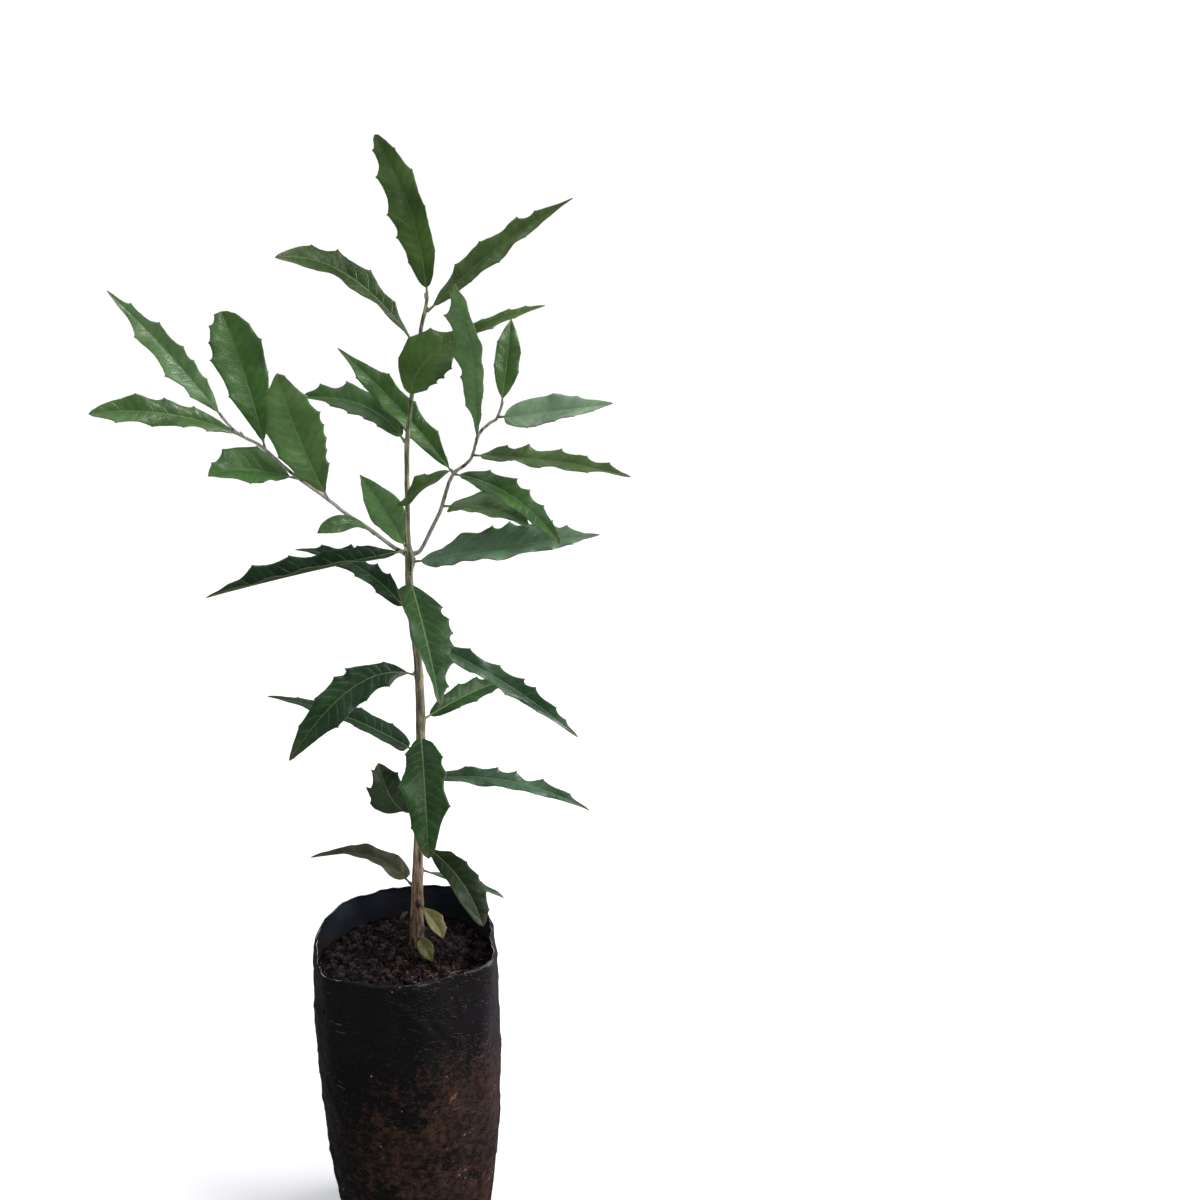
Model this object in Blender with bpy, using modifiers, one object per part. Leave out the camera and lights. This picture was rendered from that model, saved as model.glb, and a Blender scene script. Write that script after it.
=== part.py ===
# Potted sapling of a spiny-leaved evergreen, Maytenus ilicifolia, in a black nursery bag.
# Metres, +Z up, the origin at the centre of the bag's flat underside.
# X runs to the right and Y away from the front of the bag. Lengths named below are in millimetres.

import math
import random
from collections import namedtuple

import bmesh
import bpy
from mathutils import Quaternion, Vector

MM = 0.001
OBJECT_NAME = "potted_maytenus"
CLEARANCE = 0.3

# Nursery bag: 200 mm wide when it lies flat, so 400 mm round, filled and standing
BAG_HEIGHT = 250.0
BAG_WALL = 1.0
BAG_SEGMENTS = 44
# height up the bag and radius there, from the flat base to the mouth
BAG_PROFILE = (
    (0.0, 44.0),
    (1.5, 48.0),
    (6.0, 51.0),
    (22.0, 54.0),
    (47.0, 57.0),
    (77.0, 60.0),
    (107.0, 62.0),
    (140.0, 63.3),
    (190.0, 63.7),
    (226.0, 62.8),
    (250.0, 61.0),
)
# The fold creases of the flat film stand out as soft corners: heading, spread, share of the radius
CREASES = (
    (226.0, 16.0, 0.105),
    (330.0, 15.0, 0.150),
    (62.0, 20.0, 0.080),
)
CREASE_LOW = 0.25

# Soil
SOIL_LEVEL = 224.0
SOIL_MOUND = 3.0
SOIL_MOUND_RADIUS = 24.0
SOIL_FLAT = 9.0
SOIL_GAP = 0.6
SOIL_LOWEST_RING = 5.0
SOIL_SHOULDER = 10.0
SOIL_WAVE = 0.8
SOIL_WAVE_PER_MM = (0.21, 0.17)
# Rings of its top: share of the way from the stem's foot to the film
SOIL_RINGS = (0.0, 0.12, 0.25, 0.42, 0.6, 0.8, 1.0)

# Stem: right, away, height and radius at the heights where it turns or changes thickness
STEM_POINTS = (
    (5.9, 20.9, 227.0, 6.3),
    (5.9, 20.9, 230.0, 5.0),
    (5.9, 20.9, 236.0, 4.6),
    (6.9, 21.1, 250.0, 4.3),
    (9.0, 20.4, 287.0, 3.7),
    (12.5, 20.4, 340.0, 3.3),
    (15.4, 21.2, 398.0, 3.15),
    (15.6, 21.6, 440.0, 2.8),
    (12.9, 20.9, 487.0, 2.6),
    (12.4, 20.6, 505.0, 2.7),
    (13.4, 20.9, 516.0, 3.1),
    (12.6, 21.0, 526.0, 1.9),
    (13.4, 21.3, 555.0, 1.6),
    (14.8, 21.3, 590.0, 1.5),
    (19.2, 20.8, 622.0, 1.4),
    (26.0, 20.6, 661.0, 1.2),
    (29.4, 20.9, 675.0, 1.1),
    (30.8, 21.2, 682.0, 0.9),
)
STEM_RINGS = 44
STEM_SIDES = 2

# Boughs: from the collar at the stem to where each enters its spray
LEFT_BOUGH = (
    (9.4, 21.3, 519.3, 1.5),
    (2.8, 20.0, 524.0, 1.3),
    (-12.4, 15.0, 539.0, 1.2),
    (-24.7, 12.4, 549.0, 1.15),
    (-31.0, 11.4, 555.2, 1.1),
)
RIGHT_BOUGH = (
    (16.3, 21.3, 518.6, 1.5),
    (20.5, 22.6, 520.9, 1.3),
    (27.2, 24.0, 533.6, 1.2),
    (31.6, 24.9, 542.2, 1.2),
)
LEFT_TWIG = (
    (-31.5, 11.3, 555.6, 1.1),
    (-37.8, 10.0, 561.5, 1.1),
    (-55.2, 6.0, 577.3, 1.0),
    (-71.0, 3.0, 594.5, 1.0),
    (-80.4, 1.0, 601.0, 0.95),
    (-86.8, 0.5, 606.0, 0.9),
    (-93.0, 0.2, 614.0, 0.85),
)
RIGHT_TWIG = (
    (31.8, 25.0, 542.9, 1.2),
    (33.8, 25.6, 546.8, 1.25),
    (40.9, 28.0, 567.4, 1.15),
    (50.2, 29.0, 575.6, 1.05),
    (54.1, 29.5, 580.6, 1.0),
    (58.8, 30.0, 594.7, 1.0),
    (65.7, 31.0, 601.5, 0.95),
    (70.1, 31.5, 604.6, 0.9),
    (74.0, 32.0, 614.7, 0.85),
)
TWIG_RINGS = 16

# Leaves
LEAF_THICKNESS = 0.0105
LEAF_THINNEST = 0.8
PETIOLE_LENGTH = 5.0
PETIOLE_HALF_WIDTH = 0.7
FOOT_GAP = 0.35
LEAF_TIP_HALF_WIDTH = 0.35
LEAF_FLAT_SHARE = 0.25
SMOOTH_LEAF_ROWS = 10
TOOTH_OUT = 0.13
TOOTH_IN = 0.09
TOOTH_FORWARD = 0.3
TOOTH_LIFT = 0.4
TOOTH_LIFT_HALF_WIDTH = 4.0
TOOTH_VARIES = (0.8, 1.2)
SEED = 31

# Widest place along the blade, fullness of its outline, and how far its tip is drawn out
LEAF_FORMS = {
    "lance": (0.46, 0.70, 0.22),
    "spear": (0.42, 0.80, 0.10),
    "oval": (0.50, 0.66, 0.0),
    "full": (0.50, 0.50, 0.10),
    "base": (0.27, 0.62, 0.30),
    "early": (0.36, 0.68, 0.25),
    "early_full": (0.38, 0.55, 0.20),
    "late": (0.57, 0.64, 0.10),
    "late_full": (0.60, 0.50, 0.0),
    "long_tail": (0.49, 0.62, 0.78),
    "blunt": (0.66, 0.48, 0.0),
}
TIP_DRAWN_FROM = 0.66
TAIL_FROM = 0.34
TAIL_LENGTH = 0.32

# One leaf. at: height of its foot on the stem, or share of the way along a twig.
# tip: where its tip is from its foot, to the right, away and up.
# lift and sway: how far the midrib bows up and sideways, peak: how far out it bows most.
# roll: turn of the blade about its midrib, twist: how much that turns from foot to tip.
# fold: how steeply each half of the blade rises from the midrib, in degrees.
# side: heading of the side of the stem it grows from, or None for the side its tip is on.
LeafPlan = namedtuple(
    "LeafPlan", "name at tip lift width roll teeth form sway fold twist peak side"
)
LeafPlan.__new__.__defaults__ = ("lance", 0, 18, 0, 0.5, None)

STEM_LEAVES = (
    LeafPlan("leaf_01", 235, (9, -18, -4), 6, 11, 15, 0, "blunt", sway=2),
    LeafPlan("leaf_02", 264, (17, -16, -17), 2, 13, 1, 2, "late_full", side=-70),
    LeafPlan("leaf_03", 286, (52, 22, -35), 1, 12, 7, 3, "late_full"),
    LeafPlan("leaf_04", 275, (-70, 20, 10), 5, 17, -12, 3, "base", sway=12, fold=25),
    LeafPlan("leaf_05", 309, (42, -36, -40), 7, 23, 13, 4, "late_full", sway=-2),
    LeafPlan("leaf_06", 332, (-32, 54, 6), -13, 42, 7, 3, "early_full", sway=-2),
    LeafPlan("leaf_07", 358, (106, -15, -13), 9, 14, 29, 5, "lance", sway=-1),
    LeafPlan("leaf_08", 378, (-99, 33, 24), 6, 19, -13, 5, "base"),
    LeafPlan("leaf_09", 393, (10, -72, -50), 14, 28, 1, 4, "full"),
    LeafPlan("leaf_10", 401, (49, 59, 0), 4, 18, 27, 4, "full", sway=2),
    LeafPlan("leaf_11", 435, (-75, -44, -38), 19, 24, -65, 5, "late", sway=-2, peak=0.3),
    LeafPlan("leaf_12", 460, (99, -24, -56), 5, 13, 41, 7, "early_full"),
    LeafPlan("leaf_13", 478, (-72, 42, 27), 10.5, 14, -31, 6, "early_full"),
    LeafPlan("leaf_14", 503, (24, -77, -51), 2, 36, -32, 6, "early", sway=-0.5),
    LeafPlan("leaf_15", 522, (-116, -29, -19), 0.8, 22, -26, 5, "oval", sway=1, fold=50, side=-125),
    LeafPlan("leaf_16", 514, (111, -38, 31), 2.3, 33, 23, 5, "oval", sway=6),
    LeafPlan("leaf_17", 521, (-34, 51, 32), 0, 24, -12, 0, "spear", sway=1),
    LeafPlan("leaf_18", 557, (28, -40, 29), -3, 21, 47, 3, "full", sway=12),
    LeafPlan("leaf_19", 592, (-68, 46, 16), 6, 22, -29, 4, "full", sway=10),
    LeafPlan(
        "leaf_20", 620, (79, 29, 51), 18, 36, 54, 6, "long_tail", sway=7.5, twist=18, peak=0.15, side=-90
    ),
    LeafPlan("leaf_21", 654, (-71, -42, 60), 14, 20, -52, 4, "late", sway=17),
    LeafPlan("leaf_22", 674, (84, -30, 69), 3.6, 17, 64, 4, "spear"),
    LeafPlan("leaf_23", 700, (-30, 30, 89), 9, 24, -61, 5, "full", sway=0.3),
)
LEFT_BOUGH_LEAF = LeafPlan("left_bough_leaf", 0.42, (-31, -17, 8), 7, 13, -38, 0, "blunt", sway=-2, side=-90)
LEFT_SPRAY_LEAVES = (
    LeafPlan("a", 0.09, (-23, -16, 83), -1, 34, -106, 5, "late", sway=5),
    LeafPlan("b", 0.29, (-47, -33, 13), 1, 28, -39, 4, "lance", sway=14),
    LeafPlan("c", 0.48, (-25, 25, 78), 2, 32, -28, 6, "blunt", sway=0.8),
    LeafPlan("d", 0.69, (-84, -20, 20), 6.5, 17, -54, 5, "late_full", sway=1),
    LeafPlan("e", 0.99, (-62, 15, 70), 2, 17, -63, 5, "lance"),
)
RIGHT_SPRAY_LEAVES = (
    LeafPlan("a", 0.14, (56, -49, 4), 2, 28, 10, 5, "base", sway=-8),
    LeafPlan("b", 0.27, (-68, 26, 70), 4, 18, -40, 4, "oval", sway=-2),
    LeafPlan("c", 0.27, (67, -60, -23), 8, 16, 29, 6, "full", sway=-2),
    LeafPlan("d", 0.50, (95, -16, -8), 3, 14, 33, 7, "early_full"),
    LeafPlan("e", 0.58, (-6.5, -42, 106), -3, 24, -212, 6, "late", sway=-5.4, twist=18, peak=0.58),
    LeafPlan("f", 0.88, (70, -34, 18), -1, 23, 40, 5, "early"),
    LeafPlan("g", 0.97, (6, 17, 49), 0, 17, 28, 3, "oval"),
)

# Colours, linear red, green and blue
FILM_COLOUR = (0.010, 0.009, 0.009)
SOIL_COLOUR = (0.022, 0.014, 0.011)
BARK_COLOUR = (0.110, 0.090, 0.050)
GREEN_BARK_COLOUR = (0.075, 0.095, 0.040)
LOW_LEAF_COLOUR = (0.030, 0.062, 0.032)
TOP_LEAF_COLOUR = (0.062, 0.100, 0.038)
LOW_LEAVES_BELOW = 300.0
TOP_LEAVES_ABOVE = 650.0
SPRAY_HEIGHT = 600.0


# Section of the bag

def crease(heading, height):
    fade = CREASE_LOW + (1.0 - CREASE_LOW) * (height / BAG_HEIGHT) ** 4
    total = 1.0
    for middle, spread, amount in CREASES:
        off = (heading - middle + 180.0) % 360.0 - 180.0
        total += fade * amount * math.exp(-((off / spread) ** 2))
    return total


def profile_radius(height):
    for (low, low_radius), (high, high_radius) in zip(BAG_PROFILE, BAG_PROFILE[1:]):
        if height <= high:
            share = (height - low) / (high - low)
            return low_radius + share * (high_radius - low_radius)
    return BAG_PROFILE[-1][1]


def section_point(heading, height, radius):
    angle = math.radians(heading)
    reach = radius * crease(heading, height)
    return Vector((reach * math.cos(angle), reach * math.sin(angle), height))


# Smooth path through hand-chosen points, each with a radius

def smooth_path(points, count):
    rows = [Vector(p) for p in points]
    rows = [rows[0]] + rows + [rows[-1]]
    last = len(points) - 1
    path = []
    for i in range(count):
        place = last * i / (count - 1)
        k = min(int(place), last - 1)
        t = place - k
        a, b, c, d = rows[k : k + 4]
        path.append(
            0.5
            * (
                2.0 * b
                + (c - a) * t
                + (2.0 * a - 5.0 * b + 4.0 * c - d) * t * t
                + (3.0 * b - a - 3.0 * c + d) * t * t * t
            )
        )
    return path


def at_height(path, height):
    for low, high in zip(path, path[1:]):
        if height <= high.z:
            share = (height - low.z) / (high.z - low.z)
            return low.lerp(high, share)
    return path[-1]


def at_share(path, share):
    place = share * (len(path) - 1)
    k = min(int(place), len(path) - 2)
    return path[k].lerp(path[k + 1], place - k)


# Midrib and blade of a leaf

def blade_rows(plan):
    petiole = min(PETIOLE_LENGTH / Vector(plan.tip).length, 0.2)
    blade = 2 * plan.teeth + 2 if plan.teeth else SMOOTH_LEAF_ROWS
    rows = [0.0, 0.6 * petiole]
    rows += [petiole + (1.0 - petiole) * k / blade for k in range(blade + 1)]
    return rows, petiole


def outline(plan, share):
    peak, fullness, drawn = LEAF_FORMS[plan.form]
    bend = math.log(0.5) / math.log(peak)
    width = max(0.0, math.sin(math.pi * share**bend)) ** fullness
    if plan.form == "long_tail":
        fall = min(1.0, max(0.0, (share - TAIL_FROM) / TAIL_LENGTH))
        return width * (1.0 - drawn * fall * fall * (3.0 - 2.0 * fall))
    far = max(0.0, (share - TIP_DRAWN_FROM) / (1.0 - TIP_DRAWN_FROM))
    return width * (1.0 - drawn * math.sin(math.pi * far))


def thickness_of(plan):
    return max(LEAF_THINNEST, LEAF_THICKNESS * Vector(plan.tip).length)


def blade_frame(plan, t):
    chord = Vector(plan.tip)
    along = chord.normalized()
    up = Vector((0, 0, 1)) - along * along.z
    up.normalize()
    bow = up * (2.0 * plan.lift) + along.cross(up) * (2.0 * plan.sway)
    handle = chord * plan.peak + bow
    place = handle * (2.0 * t * (1.0 - t)) + chord * (t * t)
    heading = (handle * (1.0 - 2.0 * t) + chord * t).normalized()
    turn = math.radians(plan.roll + plan.twist * (t - 0.5))
    sideways = heading.cross(Quaternion(along, turn) @ up).normalized()
    return place, sideways, sideways.cross(heading)


def blade_point(plan, foot, rows, petiole, row, side, depth):
    t = rows[row]
    tooth = 0
    share = (t - petiole) / (1.0 - petiole)
    if plan.teeth and side and 0.0 < share < 1.0:
        tooth = 1 if (row + (side > 0)) % 2 else -1
        if tooth > 0:
            t += TOOTH_FORWARD * (rows[row] - rows[row - 1])
    place, sideways, face = blade_frame(plan, t)
    if share <= 0.0:
        half = PETIOLE_HALF_WIDTH
    elif row == len(rows) - 1:
        half = LEAF_TIP_HALF_WIDTH
    else:
        half = 0.5 * plan.width * outline(plan, share) * (1.0 + depth * tooth)
        half = max(half, PETIOLE_HALF_WIDTH)
    fold = math.radians(plan.fold) * min(1.0, max(0.0, share / LEAF_FLAT_SHARE))
    rise = half * math.sin(fold)
    if half > TOOTH_LIFT_HALF_WIDTH:
        rise += TOOTH_LIFT * tooth
    offset = sideways * (side * half * math.cos(fold)) + face * (abs(side) * rise)
    return (foot + place + offset) * MM


# Objects

def new_material(name, colour, roughness):
    material = bpy.data.materials.new(name)
    material.use_nodes = True
    shader = material.node_tree.nodes["Principled BSDF"]
    shader.inputs["Base Color"].default_value = (*colour, 1.0)
    shader.inputs["Roughness"].default_value = roughness
    shader.inputs["Metallic"].default_value = 0.0
    material.diffuse_color = (*colour, 1.0)
    return material


def new_object(name, mesh, home, colour, roughness):
    obj = bpy.data.objects.new(name, mesh)
    home.objects.link(obj)
    mesh.materials.clear()
    mesh.materials.append(new_material(name + "_finish", colour, roughness))
    return obj


def solid_of(obj):
    graph = bpy.context.evaluated_depsgraph_get()
    mesh = bpy.data.meshes.new_from_object(obj.evaluated_get(graph))
    mesh.transform(obj.matrix_world)
    cage = bmesh.new()
    cage.from_mesh(mesh)
    bmesh.ops.remove_doubles(cage, verts=cage.verts, dist=0.00001)
    cage.to_mesh(mesh)
    cage.free()
    return mesh


def limb_curve(name, path, home):
    curve = bpy.data.curves.new(name, "CURVE")
    curve.dimensions = "3D"
    curve.bevel_depth = MM
    curve.bevel_resolution = STEM_SIDES
    curve.use_fill_caps = True
    spline = curve.splines.new("POLY")
    spline.points.add(len(path) - 1)
    for point, row in zip(spline.points, path):
        point.co = (row.x * MM, row.y * MM, row.z * MM, 1.0)
        point.radius = row.w
    obj = bpy.data.objects.new(name, curve)
    home.objects.link(obj)
    return obj


def limb(name, path, home, colour):
    tube = limb_curve(name + "_tube", path, home)
    mesh = solid_of(tube)
    bpy.data.objects.remove(tube, do_unlink=True)
    obj = new_object(name, mesh, home, colour, 0.7)
    mesh.shade_smooth()
    mesh.set_sharp_from_angle(angle=math.radians(50.0))
    return obj


def leaf_colour(height):
    share = (height - LOW_LEAVES_BELOW) / (TOP_LEAVES_ABOVE - LOW_LEAVES_BELOW)
    share = min(1.0, max(0.0, share))
    low, top = Vector(LOW_LEAF_COLOUR), Vector(TOP_LEAF_COLOUR)
    return tuple(low.lerp(top, share))


def leaf(name, plan, foot, seed, home):
    rows, petiole = blade_rows(plan)
    rng = random.Random(seed)
    cage = bmesh.new()
    bmesh.ops.create_grid(cage, x_segments=2, y_segments=len(rows) - 1, size=1.0)
    for vert in cage.verts:
        row = round((vert.co.y + 1.0) / 2.0 * (len(rows) - 1))
        side = round(vert.co.x)
        depth = TOOTH_OUT if (row + (side > 0)) % 2 else TOOTH_IN
        depth *= rng.uniform(*TOOTH_VARIES)
        vert.co = blade_point(plan, foot, rows, petiole, row, side, depth)
    mesh = bpy.data.meshes.new(name)
    cage.to_mesh(mesh)
    cage.free()
    mesh.shade_smooth()
    obj = new_object(name, mesh, home, leaf_colour(foot.z), 0.4)
    skin = obj.modifiers.new("thickness", "SOLIDIFY")
    skin.thickness = thickness_of(plan) * MM
    skin.offset = 0.0
    return obj


def foot_on(limb_point, plan):
    out = Vector((plan.tip[0], plan.tip[1], 0.0))
    if plan.side is not None:
        angle = math.radians(plan.side)
        out = Vector((math.cos(angle), math.sin(angle), 0.0))
    out.normalize()
    _, sideways, face = blade_frame(plan, 0.0)
    depth = PETIOLE_HALF_WIDTH * abs(sideways.dot(out))
    depth += 0.5 * thickness_of(plan) * abs(face.dot(out))
    return limb_point.xyz + out * (limb_point.w + FOOT_GAP + depth)


def stem_leaf(plan, index, path, home):
    top = path[-1]
    if plan.at > top.z:
        foot = top.xyz + Vector((0.0, 0.0, CLEARANCE + FOOT_GAP))
    else:
        foot = foot_on(at_height(path, plan.at), plan)
    return leaf(plan.name, plan, foot, SEED + index, home)


def spray(name, points, plans, seed, home):
    loose = bpy.data.collections.new(name + "_leaves")
    bpy.context.scene.collection.children.link(loose)
    path = smooth_path(points, TWIG_RINGS)
    for index, plan in enumerate(plans):
        foot = at_share(path, plan.at).xyz
        leaf(name + "_" + plan.name, plan, foot, seed + index, loose)
    twig = limb(name, path, home, leaf_colour(SPRAY_HEIGHT))
    join = twig.modifiers.new("join", "BOOLEAN")
    join.operation = "UNION"
    join.operand_type = "COLLECTION"
    join.collection = loose
    join.solver = "MANIFOLD"
    mesh = solid_of(twig)
    twig.modifiers.clear()
    twig.data = mesh
    for piece in list(loose.objects):
        bpy.data.objects.remove(piece, do_unlink=True)
    bpy.data.collections.remove(loose)
    return twig


def bag(home):
    cage = bmesh.new()
    first = cage.verts.new((0.0, 0.0, 0.0))
    ring = [first]
    for height, radius in BAG_PROFILE:
        ring.append(cage.verts.new((radius, 0.0, height)))
    edges = [cage.edges.new(pair) for pair in zip(ring, ring[1:])]
    bmesh.ops.spin(
        cage,
        geom=ring + edges,
        cent=(0.0, 0.0, 0.0),
        axis=(0.0, 0.0, 1.0),
        angle=math.tau,
        steps=BAG_SEGMENTS,
        use_merge=True,
        use_normal_flip=False,
        use_duplicate=False,
    )
    bmesh.ops.remove_doubles(cage, verts=cage.verts, dist=0.001)
    for vert in cage.verts:
        radius = vert.co.xy.length
        heading = math.degrees(math.atan2(vert.co.y, vert.co.x))
        vert.co = section_point(heading, vert.co.z, radius) * MM
    bmesh.ops.recalc_face_normals(cage, faces=cage.faces)
    mesh = bpy.data.meshes.new("bag")
    cage.to_mesh(mesh)
    cage.free()
    obj = new_object("bag", mesh, home, FILM_COLOUR, 0.3)
    wall = obj.modifiers.new("film", "SOLIDIFY")
    wall.thickness = BAG_WALL * MM
    wall.offset = -1.0
    return obj


def soil_height(x, y, foot):
    away = math.hypot(x - foot.x, y - foot.y)
    slope = max(0.0, away - SOIL_FLAT) / SOIL_MOUND_RADIUS
    level = foot.z - CLEARANCE - SOIL_MOUND * (1.0 - math.exp(-(slope**2)))
    along_x, along_y = SOIL_WAVE_PER_MM
    wave = math.sin(along_x * x + 1.0) * math.cos(along_y * y - 0.6)
    return level - SOIL_WAVE * (1.0 + wave) * min(1.0, slope)


def soil(home, foot):
    inner = BAG_WALL + SOIL_GAP
    highest = SOIL_LEVEL - SOIL_SHOULDER
    sides = [height for height, _ in BAG_PROFILE if SOIL_LOWEST_RING < height < highest]
    cage = bmesh.new()
    ring = [cage.verts.new((share, 0.0, 1.0)) for share in SOIL_RINGS]
    for height in reversed(sides):
        ring.append(cage.verts.new((1.0, 0.0, height / BAG_HEIGHT - 1.0)))
    ring.append(cage.verts.new((1.0, 0.0, -1.0)))
    ring.append(cage.verts.new((0.0, 0.0, -1.0)))
    edges = [cage.edges.new(pair) for pair in zip(ring, ring[1:])]
    bmesh.ops.spin(
        cage,
        geom=ring + edges,
        cent=(0.0, 0.0, 0.0),
        axis=(0.0, 0.0, 1.0),
        angle=math.tau,
        steps=BAG_SEGMENTS,
        use_merge=True,
        use_normal_flip=False,
        use_duplicate=False,
    )
    bmesh.ops.remove_doubles(cage, verts=cage.verts, dist=0.0001)
    for vert in cage.verts:
        share = vert.co.xy.length
        heading = math.degrees(math.atan2(vert.co.y, vert.co.x))
        if vert.co.z > 0.5:
            rim = section_point(heading, SOIL_LEVEL, profile_radius(SOIL_LEVEL) - inner)
            spot = Vector((foot.x, foot.y, 0.0)).lerp(rim, share)
            spot.z = soil_height(spot.x, spot.y, foot)
        else:
            height = (vert.co.z + 1.0) * BAG_HEIGHT
            reach = (profile_radius(height) - inner) * share
            spot = section_point(heading, height, reach)
            spot.z = max(height, inner)
        vert.co = spot * MM
    bmesh.ops.recalc_face_normals(cage, faces=cage.faces)
    mesh = bpy.data.meshes.new("soil")
    cage.to_mesh(mesh)
    cage.free()
    return new_object("soil", mesh, home, SOIL_COLOUR, 0.95)


def build():
    for obj in list(bpy.data.objects):
        bpy.data.objects.remove(obj, do_unlink=True)
    home = bpy.data.collections.new(OBJECT_NAME)
    bpy.context.scene.collection.children.link(home)
    stem_path = smooth_path(STEM_POINTS, STEM_RINGS)
    left_path = smooth_path(LEFT_BOUGH, TWIG_RINGS)
    bag(home)
    soil(home, stem_path[0])
    limb("stem", stem_path, home, BARK_COLOUR)
    limb("left_bough", left_path, home, GREEN_BARK_COLOUR)
    limb("right_bough", smooth_path(RIGHT_BOUGH, TWIG_RINGS), home, GREEN_BARK_COLOUR)
    for index, plan in enumerate(STEM_LEAVES):
        stem_leaf(plan, index, stem_path, home)
    foot = foot_on(at_share(left_path, LEFT_BOUGH_LEAF.at), LEFT_BOUGH_LEAF)
    leaf("left_bough_leaf", LEFT_BOUGH_LEAF, foot, SEED + 40, home)
    spray("left_spray", LEFT_TWIG, LEFT_SPRAY_LEAVES, SEED + 50, home)
    spray("right_spray", RIGHT_TWIG, RIGHT_SPRAY_LEAVES, SEED + 60, home)


build()
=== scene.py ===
import math
import random
from collections import namedtuple

import bmesh
import bpy
from mathutils import Matrix, Quaternion, Vector, noise


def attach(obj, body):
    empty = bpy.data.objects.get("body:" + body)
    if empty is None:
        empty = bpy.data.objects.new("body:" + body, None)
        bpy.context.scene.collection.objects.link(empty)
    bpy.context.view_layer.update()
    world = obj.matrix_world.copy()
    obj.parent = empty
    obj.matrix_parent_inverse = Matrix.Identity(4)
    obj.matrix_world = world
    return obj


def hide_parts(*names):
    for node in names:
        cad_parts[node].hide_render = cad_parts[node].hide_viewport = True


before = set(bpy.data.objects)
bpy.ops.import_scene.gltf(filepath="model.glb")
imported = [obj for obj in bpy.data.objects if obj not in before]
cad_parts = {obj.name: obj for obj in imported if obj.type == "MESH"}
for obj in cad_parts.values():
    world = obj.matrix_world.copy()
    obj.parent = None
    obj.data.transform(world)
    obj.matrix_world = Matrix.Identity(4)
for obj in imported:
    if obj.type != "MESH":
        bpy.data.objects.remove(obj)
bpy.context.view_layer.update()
mm = 0.001
home = bpy.data.collections.new("sapling")
bpy.context.scene.collection.children.link(home)
print("frame loaded,", len(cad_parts), "nodes")


# Small helpers

def objectOf(name, mesh, materials):
    obj = bpy.data.objects.new(name, mesh)
    home.objects.link(obj)
    mesh.materials.clear()
    for material in materials:
        mesh.materials.append(material)
    return obj


def meshOf(cage, name, smooth=True):
    mesh = bpy.data.meshes.new(name)
    cage.to_mesh(mesh)
    cage.free()
    if smooth:
        mesh.shade_smooth()
    return mesh


def applied(obj):
    # bakes the modifiers, or a curve's bevel, into a new mesh object of the same name
    graph = bpy.context.evaluated_depsgraph_get()
    mesh = bpy.data.meshes.new_from_object(obj.evaluated_get(graph))
    materials = list(mesh.materials)
    name = obj.name
    bpy.data.objects.remove(obj, do_unlink=True)
    return objectOf(name, mesh, materials)


def walled(obj, thick):
    # gives an open surface its thickness: slot 0 stays on its front, slot 1 goes to the back, slot 2 to the cut edge
    front = len(obj.data.polygons)
    wall = obj.modifiers.new("wall", "SOLIDIFY")
    wall.thickness = thick
    wall.offset = -1.0
    obj = applied(obj)
    for index, face in enumerate(obj.data.polygons):
        face.material_index = min(index // front, 2)
    return obj


def joined(name, parts):
    for part in parts:
        part.select_set(True)
    with bpy.context.temp_override(active_object=parts[0], object=parts[0], selected_objects=parts,
                                   selected_editable_objects=parts):
        bpy.ops.object.join()
    parts[0].name = name
    parts[0].data.name = name
    return parts[0]


def weld(mesh, near=0.00001):
    cage = bmesh.new()
    cage.from_mesh(mesh)
    bmesh.ops.remove_doubles(cage, verts=cage.verts, dist=near)
    bmesh.ops.recalc_face_normals(cage, faces=cage.faces)
    cage.to_mesh(mesh)
    cage.free()


def settle(piece, slotName, *nodes):
    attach(piece, "root")
    if nodes:
        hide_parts(*nodes)
    return piece


def smoothPath(points, count):
    rows = [Vector(p) for p in points]
    rows = [rows[0]] + rows + [rows[-1]]
    last = len(points) - 1
    path = []
    for i in range(count):
        place = last * i / (count - 1)
        k = min(int(place), last - 1)
        t = place - k
        a, b, c, d = rows[k : k + 4]
        bend = (2 * a - 5 * b + 4 * c - d) * t * t + (3 * b - a - 3 * c + d) * t * t * t
        path.append(0.5 * (2 * b + (c - a) * t + bend))
    return path


def atHeight(path, height):
    for low, high in zip(path, path[1:]):
        if height <= high.z:
            return low.lerp(high, (height - low.z) / (high.z - low.z))
    return path[-1]


def atShare(path, share):
    place = share * (len(path) - 1)
    k = min(int(place), len(path) - 2)
    return path[k].lerp(path[k + 1], place - k)


# Node groups shared by the materials

def addNode(tree, kind, **settings):
    node = tree.nodes.new(kind)
    for key, value in settings.items():
        setattr(node, key, value)
    return node


def mathNode(tree, operation, first, second=None):
    node = addNode(tree, "ShaderNodeMath", operation=operation)
    for socket, value in zip(node.inputs, (first, second)):
        if value is None:
            continue
        if isinstance(value, (int, float)):
            socket.default_value = value
        else:
            tree.links.new(value, socket)
    return node.outputs[0]


def rangeNode(tree, value, low, high, start=0.0, end=1.0):
    node = addNode(tree, "ShaderNodeMapRange", interpolation_type="SMOOTHSTEP")
    tree.links.new(value, node.inputs["Value"])
    for key, number in (("From Min", low), ("From Max", high), ("To Min", start), ("To Max", end)):
        node.inputs[key].default_value = number
    return node.outputs["Result"]


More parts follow.
